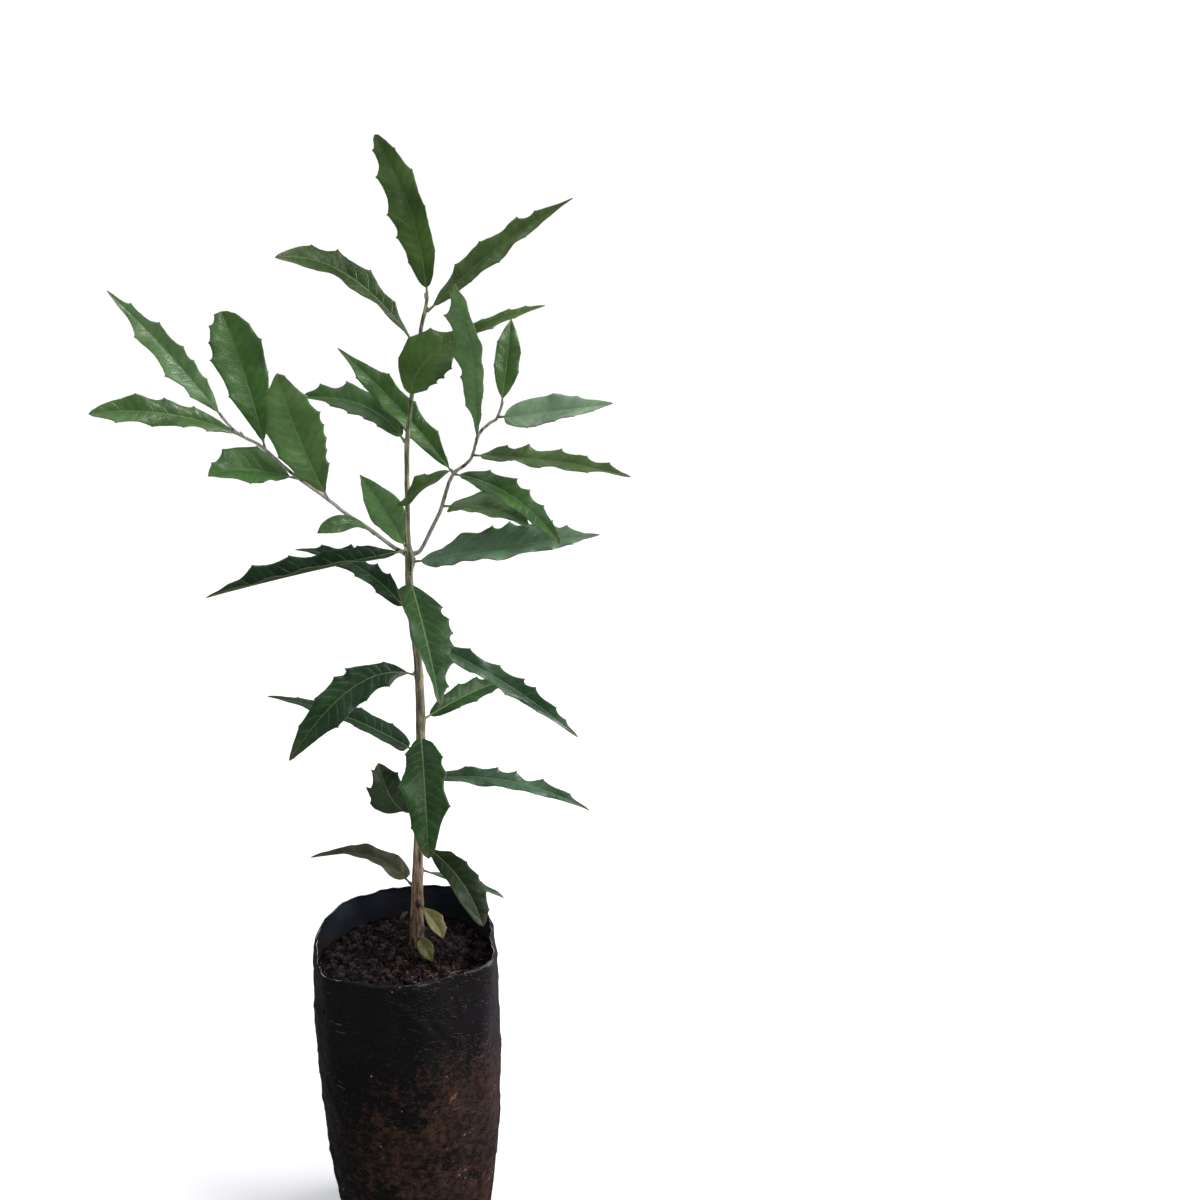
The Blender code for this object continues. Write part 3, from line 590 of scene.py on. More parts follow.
stemLeafPlans = (
    LeafPlan("leaf_01", 235, (9, -18, -4), 6, 9.5, 15, "blunt", "dull", sway=2),
    LeafPlan("leaf_02", 264, (17, -16, -17), 2, 11.5, 1, "lateFull", "dull", side=-70,
             teeth=(((0.5, 0.5), (0.82, 0.6)), ((0.6, 0.4),))),
    LeafPlan("leaf_03", 286, (52, 22, -35), 1, 10.5, 7, "lateFull", "deep",
             teeth=(((0.4, 0.6), (0.7, 0.7)), ((0.5, 0.6),))),
    LeafPlan("leaf_04", 275, (-70, 20, 10), 5, 15, -12, "base", "dusk", sway=12, fold=25),
    LeafPlan("leaf_05", 309, (42, -36, -40), 7, 20, 13, "lateFull", "grey", sway=-2,
             teeth=(((0.2, 0.6), (0.38, 0.9), (0.55, 0.7), (0.72, 0.8), (0.89, 0.7)), ((0.6, 0.5),))),
    LeafPlan("leaf_06", 332, (-32, 54, 6), -13, 36.5, 7, "earlyFull", "grey", sway=-2, ruffle=2.0,
             teeth=(((0.36, 2), (0.67, 2.3), (0.92, 2.1)), ((0.3, 1.5), (0.6, 2), (0.85, 1.5)))),
    LeafPlan("leaf_07", 358, (106, -15, -13), 9, 12.5, 29, "lance", "blue", sway=-1, ruffle=1.8, spine=4,
             teeth=(((0.2, 0.9), (0.4, 1.6), (0.52, 1.3), (0.69, 2.3), (0.88, 1.6)),
                    ((0.3, 0.6), (0.5, 0.8), (0.68, 0.8)))),
    LeafPlan("leaf_08", 378, (-99, 33, 24), 6, 16.5, -13, "base", "deep", spine=4,
             teeth=(((0.35, 0.8), (0.6, 0.8)), ((0.17, 1.5), (0.4, 1.2), (0.62, 1.2), (0.83, 1.3)))),
    LeafPlan("leaf_09", 393, (10, -72, -50), 14, 24.5, 1, "full", "mid",
             teeth=(((0.27, 2), (0.42, 2), (0.66, 4.2)), ((0.2, 0.9), (0.5, 4), (0.8, 0.9)))),
    LeafPlan("leaf_10", 401, (49, 59, 0), 4, 15.5, 27, "full", "mid", sway=2,
             teeth=(((0.45, 0.9), (0.69, 1)), ((0.25, 1.2), (0.44, 3.2), (0.65, 1.2)))),
    LeafPlan("leaf_11", 435, (-75, -44, -38), 19, 21, -65, "late", "deep", sway=-2, peak=0.3,
             teeth=(((0.2, 3), (0.45, 1), (0.72, 2)),
                    ((0.2, 0.8), (0.45, 3), (0.53, 2.3), (0.69, 1.2), (0.85, 0.8)))),
    LeafPlan("leaf_12", 460, (99, -24, -56), 5, 11.5, 41, "earlyFull", "blue", ruffle=1.8, spine=4,
             teeth=(((0.1, 0.8), (0.23, 1.9), (0.42, 2.5), (0.58, 2.5), (0.66, 1.9), (0.82, 2.5), (0.91, 1.9)),
                    ((0.3, 0.9), (0.54, 2.6), (0.75, 1.2)))),
    LeafPlan("leaf_13", 478, (-72, 42, 27), 10.5, 12.5, -31, "earlyFull", "deep", ruffle=1.4, spine=7,
             teeth=(((0.2, 1), (0.38, 3.4), (0.62, 1.2), (0.8, 1)),
                    ((0.22, 1.2), (0.35, 2), (0.58, 3.4), (0.84, 1.9)))),
    LeafPlan("leaf_14", 503, (24, -77, -51), 2, 31, -32, "early", "mid", sway=-0.5,
             teeth=(((0.18, 2), (0.3, 1.2), (0.42, 1.5), (0.53, 1.6), (0.67, 1.4), (0.86, 2.1)),
                    ((0.35, 0.8), (0.62, 1.2)))),
    LeafPlan("leaf_15", 522, (-116, -29, -19), 0.8, 19.5, -26, "oval", "deep", sway=1, fold=50, side=-125, spine=5,
             teeth=(((0.4, 0.6), (0.7, 0.5)), ((0.2, 1), (0.38, 1.4), (0.56, 2.2), (0.76, 2)))),
    LeafPlan("leaf_16", 514, (111, -38, 31), 2.3, 29, 23, "oval", "slatesheen", sway=6, spine=6,
             teeth=(((0.21, 1), (0.43, 1.5), (0.53, 2.6), (0.78, 3.4), (0.87, 1.4)),
                    ((0.53, 4), (0.71, 2.9), (0.81, 3.6), (0.91, 2.4)))),
    LeafPlan("leaf_17", 521, (-34, 51, 32), 0, 20.5, -12, "spear", "fresh", sway=1),
    LeafPlan("leaf_18", 557, (28, -40, 29), -3, 18, 47, "full", "olive", sway=12,
             teeth=(((0.4, 0.7), (0.68, 0.8)), ((0.5, 0.8), (0.82, 0.8)))),
    LeafPlan("leaf_19", 592, (-68, 46, 16), 6, 19.5, -29, "full", "fresh", sway=10,
             teeth=(((0.15, 1.9), (0.32, 1), (0.5, 2.5), (0.72, 1.2)),
                    ((0.21, 2.8), (0.4, 3.1), (0.69, 3.4), (0.88, 2.5)))),
    LeafPlan("leaf_20", 620, (79, 29, 51), 18, 31.5, 54, "longTail", "olive", sway=7.5, twist=18, peak=0.15, side=-90,
             teeth=(((0.22, 0.6), (0.36, 0.8), (0.48, 1.6), (0.64, 1.0), (0.74, 0.5), (0.86, 3.4), (0.93, 3.0)),
                    ((0.13, 1.0), (0.26, 2.2), (0.34, 2.2), (0.43, 1.8), (0.61, 0.8), (0.76, 1.4), (0.88, 0.6)))),
    LeafPlan("leaf_21", 654, (-71, -42, 60), 14, 17, -52, "late", "moss", sway=17,
             teeth=(((0.5, 0.5), (0.75, 0.5)), ((0.16, 2.3), (0.37, 1.6), (0.58, 2.4), (0.74, 1.8)))),
    LeafPlan("leaf_22", 674, (84, -30, 69), 3.6, 15, 64, "spear", "light", spine=4,
             teeth=(((0.25, 0.8), (0.44, 1.5), (0.7, 1.7), (0.81, 0.8)),
                    ((0.3, 0.8), (0.5, 2.0), (0.71, 0.9)))),
    LeafPlan("leaf_23", 700, (-30, 30, 89), 9, 21, -61, "full", "olive", sway=0.3,
             teeth=(((0.16, 0.8), (0.33, 2.0), (0.49, 1.5), (0.75, 2.4), (0.93, 0.8)),
                    ((0.2, 0.6), (0.45, 1.2), (0.69, 0.9), (0.84, 0.9)))),
)
footLeafPlan = LeafPlan("foot_leaf", 256, (-6.5, -3, -4.5), 0.5, 4.2, 10, "oval", "dusk")
boughLeafPlan = LeafPlan("left_bough_leaf", 0.42, (-31, -17, 8), 7, 11, -38, "blunt", "fresh", sway=-2, side=-90)
leftSprayPlans = (
    LeafPlan("a", 0.09, (-23, -16, 83), -1, 30, -106, "late", "pale", sway=5,
             teeth=(((0.22, 1), (0.4, 1.6), (0.62, 1.2), (0.85, 1)),
                    ((0.19, 1.9), (0.3, 0.7), (0.4, 1), (0.52, 0.8), (0.64, 1.5), (0.79, 1.3), (0.98, 1)))),
    LeafPlan("b", 0.29, (-47, -33, 13), 1, 24.5, -39, "lance", "fresh", sway=14,
             teeth=(((0.08, 3), (0.26, 3.2), (0.56, 3)), ((0.31, 2.1), (0.65, 1.3), (0.85, 0.8)))),
    LeafPlan("c", 0.48, (-25, 25, 78), 2, 27.5, -28, "blunt", "fresh", sway=0.8,
             teeth=(((0.37, 2), (0.67, 2.3), (0.81, 0.7), (0.93, 1.1), (0.99, 1)),
                    ((0.48, 0.4), (0.71, 1.1), (0.85, 0.4), (0.96, 0.2)))),
    LeafPlan("d", 0.69, (-84, -20, 20), 6.5, 15, -54, "lateFull", "pale", sway=1, ruffle=1.6,
             teeth=(((0.18, 1.8), (0.35, 2.6), (0.58, 1), (0.83, 2.4)),
                    ((0.31, 1.4), (0.51, 1.8), (0.7, 1)))),
    LeafPlan("e", 0.99, (-62, 15, 70), 2, 15, -63, "lance", "paintedlight", ruffle=1.4, spine=5,
             teeth=(((0.17, 1.7), (0.37, 2.7), (0.7, 2.5)),
                    ((0.2, 1), (0.34, 1.2), (0.45, 1.5), (0.66, 1.9), (0.88, 1.4)))),
)
rightSprayPlans = (
    LeafPlan("a", 0.14, (56, -49, 4), 2, 24, 10, "base", "pale", sway=-8,
             teeth=(((0.2, 0.8), (0.38, 2.6), (0.65, 1.2)),
                    ((0.12, 1), (0.28, 1.9), (0.46, 0.8), (0.65, 1.4)))),
    LeafPlan("b", 0.27, (-68, 26, 70), 4, 16, -40, "oval", "fresh", sway=-2, spine=6,
             teeth=(((0.3, 1.2), (0.55, 1.4), (0.81, 1.8)), ((0.21, 2.2), (0.45, 1.2), (0.69, 1.8)))),
    LeafPlan("c", 0.27, (67, -60, -23), 8, 13.5, 29, "full", "fresh", sway=-2,
             teeth=(((0.2, 3), (0.45, 2.5), (0.58, 1.6), (0.71, 2.3)),
                    ((0.3, 1), (0.55, 1.4), (0.8, 1.2)))),
    LeafPlan("d", 0.50, (95, -16, -8), 3, 12.5, 33, "earlyFull", "light", ruffle=1.6, spine=4,
             teeth=(((0.17, 1.2), (0.31, 3), (0.53, 3.4), (0.72, 1.2), (0.87, 2.8)),
                    ((0.23, 3.2), (0.42, 2.3), (0.6, 1), (0.74, 3.2)))),
    LeafPlan("e", 0.58, (-6.5, -42, 106), -3, 20.5, -212, "late", "paintedlight", sway=-5.4, twist=18, peak=0.58,
             teeth=(((0.16, 2.2), (0.35, 1.2), (0.5, 3.2), (0.8, 3.0), (0.95, 1.5)),
                    ((0.19, 2.6), (0.31, 1.6), (0.53, 1.8), (0.67, 0.8), (0.84, 1.6)))),
    LeafPlan("f", 0.88, (70, -34, 18), -1, 20, 40, "early", "bright",
             teeth=(((0.45, 0.5), (0.68, 0.6)),
                    ((0.26, 1), (0.35, 0.8), (0.54, 1.7), (0.7, 1.5), (0.85, 0.8)))),
    LeafPlan("g", 0.97, (6, 17, 49), 0, 14.5, 28, "oval", "pale",
             teeth=(((0.4, 0.4), (0.7, 0.5)), ((0.35, 0.5), (0.6, 0.5)))),
)

# Widest place along the blade, fullness of its outline, and how far its tip is drawn out
leafForms = {
    "lance": (0.46, 0.70, 0.22),
    "spear": (0.42, 0.80, 0.10),
    "oval": (0.50, 0.66, 0.0),
    "full": (0.50, 0.50, 0.10),
    "base": (0.27, 0.62, 0.30),
    "early": (0.36, 0.68, 0.25),
    "earlyFull": (0.38, 0.55, 0.20),
    "late": (0.57, 0.64, 0.10),
    "lateFull": (0.60, 0.50, 0.0),
    "longTail": (0.49, 0.62, 0.78),
    "blunt": (0.66, 0.48, 0.0),
}
blade = {
    "thick": 0.42,
    "petiole": 5.0,
    "petioleHalf": 0.7,
    "columns": 16,
    "rowPitch": 1.25,
    "tooth": 0.72,         # how much of a tooth stands outside the plain outline
    "toothShare": 0.60,    # at most this share of the half width
    "bay": 1.10,           # depth of the bays between the teeth
    "bayShare": 0.33,
    "forward": 0.55,
    "spine": 0.65,
    "toothRise": 0.50,
    "quilt": 0.30,         # swelling between the side veins
    "ripple": 0.46,
    "rippleLength": 8.5,
    "nick": 0.22,          # small unevenness of the margins
    "wide": 1.15,
    "wave": 2.6,           # slow undulation of the margins
    "waveLength": 15.0,
    "bulge": 0.08,
    "ribGroove": 0.30,
    "sunk": 1.5,           # how far the petiole starts inside its stem
    "footGap": 0.35,
    "solidThick": 0.0105,  # of the length, as in the solids
    "solidThin": 0.8,
    "seed": 31,
}
midribs = {"foot": 0.95, "base": 0.70, "tip": 0.14, "below": 0.25, "steps": 18, "sides": 2}


def bladeOutline(plan, share):
    peak, fullness, drawn = leafForms[plan.form]
    bend = math.log(0.5) / math.log(peak)
    width = max(0.0, math.sin(math.pi * share**bend)) ** fullness
    if plan.form == "longTail":
        fall = min(1.0, max(0.0, (share - 0.34) / 0.32))
        return width * (1.0 - drawn * fall * fall * (3.0 - 2.0 * fall))
    return width * (1.0 - drawn * math.sin(math.pi * max(0.0, (share - 0.66) / 0.34)))


def bladeFrame(plan, t):
    chord = Vector(plan.tip)
    along = chord.normalized()
    up = Vector((0, 0, 1)) - along * along.z
    up.normalize()
    bow = up * (2.0 * plan.lift) + along.cross(up) * (2.0 * plan.sway)
    handle = chord * plan.peak + bow
    place = handle * (2.0 * t * (1.0 - t)) + chord * (t * t)
    heading = (handle * (1.0 - 2.0 * t) + chord * t).normalized()
    turn = math.radians(plan.roll + plan.twist * (t - 0.5))
    sideways = heading.cross(Quaternion(along, turn) @ up).normalized()
    return place, sideways, sideways.cross(heading)


def toothRow(teeth, rng):
    # the teeth of one margin, between its plain ends
    row = [(0.0, 0.0)]
    for place, height in teeth:
        row.append((place, height * rng.uniform(0.9, 1.1)))
    return row + [(1.0, 0.0)]


def toothLift(row, share, half):
    # steps in soon past each tooth, to a bay, and climbs slowly to the next
    for (low, lowHeight), (high, highHeight) in zip(row, row[1:]):
        if share <= high:
            q = (share - low) / (high - low)
            tip = blade["tooth"] * (lowHeight + (highHeight - lowHeight) * q)
            depth = min(blade["bay"] * 0.5 * (lowHeight + highHeight), blade["bayShare"] * half)
            return min(tip, blade["toothShare"] * half + 0.3) - depth * math.sin(math.pi * q**0.95)
    return 0.0


def veinLane(out, along, right):
    # whole numbers lie on a side vein; out and along in units of 100 mm
    forward = out * (veinLook["slant"] + veinLook["curve"] * out)
    sway = veinLook["waver"] * math.sin(veinLook["waverPer100"] * along)
    return (along - forward) * veinLook["pitch"] + (0.5 if right else 0.0) + sway


def bladeRows(length, rows):
    # evenly spaced shares, pulled to the teeth of both margins
    count = max(20, round(length / blade["rowPitch"]))
    anchors = {0: 0.0, count: 1.0}
    for place, height in rows[0][1:-1] + rows[1][1:-1]:
        anchors.setdefault(round(place * count), place)
    keys = sorted(anchors)
    shares = []
    for low, high in zip(keys, keys[1:]):
        for k in range(low, high):
            shares.append(anchors[low] + (anchors[high] - anchors[low]) * (k - low) / (high - low))
    return shares + [1.0]


def bladePoint(plan, petiole, rows, share, u, seed):
    # the point, and its distances from the midrib and along the blade for the flat map
    length = Vector(plan.tip).length
    right = u >= 0
    side = 1 if right else -1
    edge = abs(u)
    row = rows[1 if right else 0]
    half = 0.5 * blade["wide"] * plan.width * bladeOutline(plan, share)
    half = max(half, 0.22, blade["petioleHalf"] * (1.0 - share) ** 5)
    lift = toothLift(row, share, half)
    nick = noise.noise(Vector((length * share / 2.4, 5.1 * side, seed * 2.1)))
    out = half * edge + (lift + blade["nick"] * nick * min(1.0, half / 3.0)) * edge**2
    t = petiole + (1.0 - petiole) * share + blade["forward"] * max(0.0, lift) * edge**3 / length
    if edge > 0.999:
        sharp = max((height for place, height in row[1:-1] if abs(place - share) < 0.0001), default=0.0)
        out += 0.8 * blade["spine"] * min(1.0, sharp) * min(1.0, half / 4.0)
        t += 0.7 * blade["spine"] * min(1.0, sharp) / length
    t += plan.spine * max(0.0, share - 0.97) / 0.03 / length
    place, sideways, face = bladeFrame(plan, t)
    fold = math.radians(plan.fold) * min(1.0, 4.0 * share)
    rise = out * math.sin(fold) * edge**0.25
    rise += blade["bulge"] * half * math.sin(math.pi * edge)
    where = Vector((length * share / blade["waveLength"], 3.7 * side, seed * 1.3))
    broad = min(1.0, half / 7.0)
    rise += plan.ruffle * blade["wave"] * noise.noise(where) * 1.6 * edge**1.4 * broad
    rise += plan.ruffle * blade["toothRise"] * lift * edge**2.5 * broad
    along = length * t / 100.0
    inner = math.sin(math.pi * min(1.0, edge * 1.02)) ** 0.6 * broad * min(1.0, 5.0 * share)
    rise += blade["quilt"] * inner * (abs(math.sin(math.pi * veinLane(out / 100.0, along, right))) - 0.6)
    where = Vector((side * out, length * share, seed * 17.0)) / blade["rippleLength"]
    rise += blade["ripple"] * noise.noise(where) * 1.5 * min(1.0, 3.0 * edge) * broad
    if edge < 0.12:
        rise -= blade["ribGroove"] * (1.0 - edge / 0.12) * (1.0 - 0.8 * share)
    spot = place + sideways * (side * out * math.cos(fold)) + face * rise
    return spot, side * out, length * t


def fineLeaf(name, plan, foot, seed, finishes, margin):
    length = Vector(plan.tip).length
    petiole = min(blade["petiole"] / length, 0.2)
    rng = random.Random(seed)
    rows = [toothRow(teeth, rng) for teeth in plan.teeth]
    shares = bladeRows(length, rows)
    steps = len(shares) - 1
    cage = bmesh.new()
    cage.loops.layers.uv.new("blade")
    bmesh.ops.create_grid(cage, x_segments=blade["columns"], y_segments=steps, size=1.0, calc_uvs=True)
    flat = cage.loops.layers.uv.new("flat")
    flatPlace = {}
    for vert in cage.verts:
        share = shares[round((vert.co.y + 1.0) / 2.0 * steps)]
        u = math.copysign(abs(vert.co.x) ** 1.1, vert.co.x)
        spot, out, along = bladePoint(plan, petiole, rows, share, u, seed)
        vert.co = (foot + spot) * mm
        flatPlace[vert] = (out / 100.0, along / 100.0)
    for face in cage.faces:
        for loop in face.loops:
            loop[flat].uv = flatPlace[loop.vert]
    leaf = objectOf(name, meshOf(cage, name), [*finishes[plan.tint], margin])
    return walled(leaf, blade["thick"] * mm)


def footOn(limbPoint, plan):
    out = Vector((plan.tip[0], plan.tip[1], 0.0))
    if plan.side is not None:
        angle = math.radians(plan.side)
        out = Vector((math.cos(angle), math.sin(angle), 0.0))
    out.normalize()
    _, sideways, face = bladeFrame(plan, 0.0)
    thick = max(blade["solidThin"], blade["solidThick"] * Vector(plan.tip).length)
    depth = blade["petioleHalf"] * abs(sideways.dot(out)) + 0.5 * thick * abs(face.dot(out))
    return limbPoint.xyz + out * (limbPoint.w + blade["footGap"] + depth), out


def midribPath(plan, foot, inward):
    # petiole and midrib in one: it starts inside the limb and fades out at the blade's tip
    length = Vector(plan.tip).length
    petiole = min(blade["petiole"] / length, 0.2)
    path = [(foot + inward * blade["sunk"], midribs["foot"])]
    for k in range(midribs["steps"] + 1):
        t = 0.97 * k / midribs["steps"]
        place, _, face = bladeFrame(plan, t)
        grow = min(1.0, t / petiole)
        below = (0.35 * grow + midribs["below"]) * (1.0 - 0.5 * t)
        radius = midribs["base"] + (midribs["tip"] - midribs["base"]) * t**0.6
        if t < petiole:
            radius = midribs["foot"] + (midribs["base"] - midribs["foot"]) * grow
            below = blade["thick"] * 0.5 * grow
        path.append((foot + place - face * below, radius))
    return path


def tubes(name, paths, material, sides=2, caps=True):
    # one curve with a spline for each path of (place, radius) in millimetres
    curve = bpy.data.curves.new(name, "CURVE")
    curve.dimensions = "3D"
    curve.bevel_depth = mm
    curve.bevel_resolution = sides
    curve.use_fill_caps = caps
    for path in paths:
        spline = curve.splines.new("POLY")
        spline.points.add(len(path) - 1)
        for point, (place, radius) in zip(spline.points, path):
            point.co = (*(place * mm), 1.0)
            point.radius = radius
    obj = bpy.data.objects.new(name, curve)
    home.objects.link(obj)
    graph = bpy.context.evaluated_depsgraph_get()
    mesh = bpy.data.meshes.new_from_object(obj.evaluated_get(graph))
    bpy.data.objects.remove(obj, do_unlink=True)
    weld(mesh)
    mesh.shade_smooth()
    return objectOf(name, mesh, [material])


# Limbs with bark relief

limbLook = {
    "sides": 5,            # bevel resolution: 24 faces round
    "stemStep": 1.1,
    "relief": 0.16,
    "ridge": 0.22,
    "footRelief": 2.2,     # how much rougher the old bark by the soil is
    "footReach": 80.0,
    "nodeSwell": 0.55,
    "nodeReach": 3.2,
}


def barkedLimb(name, points, material, feet, relief):
    length = sum((Vector(b[:3]) - Vector(a[:3])).length for a, b in zip(points, points[1:]))
    count = max(12, int(length / limbLook["stemStep"]))
    path = smoothPath(points, count)
    limb = tubes(name, [[(row.xyz, row.w) for row in path]], material, limbLook["sides"])
    for vert in limb.data.vertices:
        spot = vert.co / mm
        axis = min(path, key=lambda row: (row.xyz - spot).length_squared)
        out = spot - axis.xyz
        reach = out.length
        if reach < 0.2:
            continue
        out.normalize()
        grain = noise.noise(Vector((spot.x * 0.9, spot.y * 0.9, spot.z * 0.16)))
        lump = noise.noise(Vector((spot.x * 0.25, spot.y * 0.25, spot.z * 0.10 + 7.0)))
        old = 1.0 + limbLook["footRelief"] * max(0.0, 1.0 - abs(spot.z - 226.0) / limbLook["footReach"])
        push = relief * grain * old + limbLook["ridge"] * lump * old * axis.w / 3.0
        for foot, side in feet:
            gap = spot - foot
            drop = gap.z + 1.2
            facing = max(0.0, out.dot(side))
            swell = math.exp(-((drop / limbLook["nodeReach"]) ** 2)) * facing**2
            push += limbLook["nodeSwell"] * swell * min(1.0, axis.w / 2.0)
        vert.co = (spot + out * push) * mm
    return limb


def buildPlant():
    finishes, margin = leafFinishes()
    bark = barkFinish("stemBark")
    twigBark = twigFinish("twigBark")
    petioleLook = petioleFinish()
    stemPath = smoothPath(stemPoints, 44)
    leftPath = smoothPath(leftBoughPoints, 16)
    feet = []
    ribs = []
    leaves = []
    buds = []
    for index, plan in enumerate(stemLeafPlans):
        if plan.at > stemPath[-1].z:
            foot = stemPath[-1].xyz + Vector((0.0, 0.0, 0.65))
            out = Vector((0.0, 0.0, 1.0))
        else:
            foot, out = footOn(atHeight(stemPath, plan.at), plan)
            feet.append((foot, out))
            buds.append((foot - out * 0.4, out))
        leaves.append(fineLeaf(plan.name + "_blade", plan, foot, blade["seed"] + index, finishes, margin))
        ribs.append(midribPath(plan, foot, -out))
    foot, out = footOn(atHeight(stemPath, footLeafPlan.at), footLeafPlan)
    leaves.append(fineLeaf("foot_leaf_blade", footLeafPlan, foot, blade["seed"] + 30, finishes, margin))
    print("leaves on the stem:", len(leaves))
    nodes = [plan.name for plan in stemLeafPlans]
    settle(joined("stem_leaves", leaves), "leaf", *nodes)
    settle(tubes("stem_leaf_ribs", ribs, petioleLook, midribs["sides"]), "leaf")

    foot, out = footOn(atShare(leftPath, boughLeafPlan.at), boughLeafPlan)
    small = fineLeaf("left_bough_leaf_blade", boughLeafPlan, foot, blade["seed"] + 40, finishes, margin)
    settle(small, "leaf", "left_bough_leaf")
    settle(tubes("left_bough_leaf_rib", [midribPath(boughLeafPlan, foot, -out)], petioleLook), "leaf")

    stem = barkedLimb("stem_bark", stemPoints, bark, feet, limbLook["relief"])
    settle(stem, "bark", "stem")
    reachIn = [(12.4, 21.0, 516.5, 1.3)]
    left = barkedLimb("left_bough_bark", (*reachIn, *leftBoughPoints, leftTwigPoints[0]), twigBark, [], 0.10)
    settle(left, "green_bark", "left_bough")
    right = barkedLimb("right_bough_bark", (*reachIn, *rightBoughPoints, rightTwigPoints[0]), twigBark, [], 0.10)
    settle(right, "green_bark", "right_bough")
    print("stem and boughs barked")

    for name, points, plans, seed in (
        ("left_spray", leftTwigPoints, leftSprayPlans, blade["seed"] + 50),
        ("right_spray", rightTwigPoints, rightSprayPlans, blade["seed"] + 60),
    ):
        path = smoothPath(points, 16)
        leaves = []
        ribs = []
        for index, plan in enumerate(plans):
            foot = atShare(path, plan.at).xyz
            leaves.append(fineLeaf(name + "_" + plan.name, plan, foot, seed + index, finishes, margin))
            ribs.append(midribPath(plan, foot, Vector((0.0, 0.0, 0.0))))
            out = Vector((plan.tip[0], plan.tip[1], 0.0)).normalized()
            buds.append((foot + out * 0.9 + Vector((0.0, 0.0, 1.0)), out))
        settle(joined(name + "_leaves", leaves), "spray", name)
        settle(tubes(name + "_ribs", ribs, petioleLook, midribs["sides"]), "spray")
        settle(barkedLimb(name + "_twig", points, twigBark, [], 0.08), "spray", name)
    settle(budCluster(buds, stemPath[-1]), "bark")
    print("sprays and buds done")


def petioleFinish():
    material, tree, shader = newMaterial("petioleGreen", 0.48)
    place = addNode(tree, "ShaderNodeTexCoord").outputs["Object"]
    streak = noiseNode(tree, place, 210.0, 4.0)
    split = addNode(tree, "ShaderNodeSeparateXYZ")
    tree.links.new(place, split.inputs[0])
    fresh = mixColour(tree, rangeNode(tree, streak, 0.3, 0.7), (0.085, 0.128, 0.044), (0.150, 0.190, 0.078))
    old = mixColour(tree, rangeNode(tree, streak, 0.3, 0.7), (0.044, 0.034, 0.020), (0.100, 0.082, 0.046))
    # low on the stem they turn brown
    colour = mixColour(tree, rangeNode(tree, split.outputs[2], 0.270, 0.400), old, fresh)
    tree.links.new(colour, shader.inputs["Base Color"])
    addBump(tree, shader, streak, 0.4, 0.0003)
    return material


budShape = {"long": 1.7, "wide": 0.75, "rings": 8, "segments": 10, "tip": 2.4}


def budCluster(buds, top):
    # a pointed bud in each leaf's axil, and a larger one at the stem's end
    material = twigFinish("budScales")
    cage = bmesh.new()
    places = [(foot + Vector((0.0, 0.0, 1.1)), out, 1.0) for foot, out in buds]
    places.append((top.xyz + Vector((-0.9, 0.0, 0.5)), Vector((-0.3, 0.0, 0.2)), budShape["tip"] / budShape["long"]))
    for place, out, scale in places:
        made = bmesh.ops.create_uvsphere(
            cage, u_segments=budShape["segments"], v_segments=budShape["rings"], radius=1.0)
        lean = (out * 0.7 + Vector((0.0, 0.0, 1.0))).normalized()
        turn = lean.to_track_quat("Z", "Y").to_matrix()
        for vert in made["verts"]:
            share = (vert.co.z + 1.0) / 2.0
            narrow = budShape["wide"] * (1.0 - 0.45 * share**2)
            spot = Vector((vert.co.x * narrow, vert.co.y * narrow, vert.co.z * budShape["long"])) * scale
            vert.co = (place + turn @ spot) * mm
    return objectOf("buds", meshOf(cage, "buds"), [material])


# Bag of thin black film

bag = {
    "profile": (
        (0.0, 44.0), (1.5, 48.0), (6.0, 51.0), (22.0, 54.0), (47.0, 57.0), (77.0, 60.0),
        (107.0, 62.0), (140.0, 63.3), (190.0, 63.7), (226.0, 62.8), (250.0, 61.0),
    ),
    "creases": ((226.0, 16.0, 0.105), (330.0, 15.0, 0.150), (62.0, 20.0, 0.080)),
    "creaseLow": 0.25,
    "height": 250.0,
    "film": 0.45,
    "segments": 300,
    "rings": 130,
    "folds": 1.3,          # long upright folds
    "crinkles": 1.25,      # slanting creases
    "fine": 0.16,
    "rimWave": 0.9,
    "rimLean": 1.1,
    "rimCurl": 2.6,
    "creaseCount": 46,
    "creaseSeed": 12,
}


def creaseFactor(heading, height):
    fade = bag["creaseLow"] + (1.0 - bag["creaseLow"]) * (height / bag["height"]) ** 4
    total = 1.0
    for middle, spread, amount in bag["creases"]:
        off = (heading - middle + 180.0) % 360.0 - 180.0
        total += fade * amount * math.exp(-((off / spread) ** 2))
    return total


def bagRadius(height):
    for (low, lowRadius), (high, highRadius) in zip(bag["profile"], bag["profile"][1:]):
        if height <= high:
            return lowRadius + (height - low) / (high - low) * (highRadius - lowRadius)
    return bag["profile"][-1][1]


def ridged(place):
    return (1.0 - abs(noise.noise(place)) * 2.2) ** 3


def makeCreases():
    # long slanting creases: middle and direction on the unrolled film, half length, depth and width
    rng = random.Random(bag["creaseSeed"])
    rows = []
    for _ in range(bag["creaseCount"]):
        tilt = math.radians(rng.choice((-1.0, 1.0)) * rng.uniform(8.0, 62.0))
        rows.append((rng.uniform(-180.0, 180.0), rng.uniform(20.0, 244.0), math.cos(tilt), math.sin(tilt),
                     rng.uniform(12.0, 34.0), rng.choice((-0.7, 0.6)) * rng.uniform(0.7, 1.5), rng.uniform(1.5, 3.0)))
    return rows


filmCreases = makeCreases()


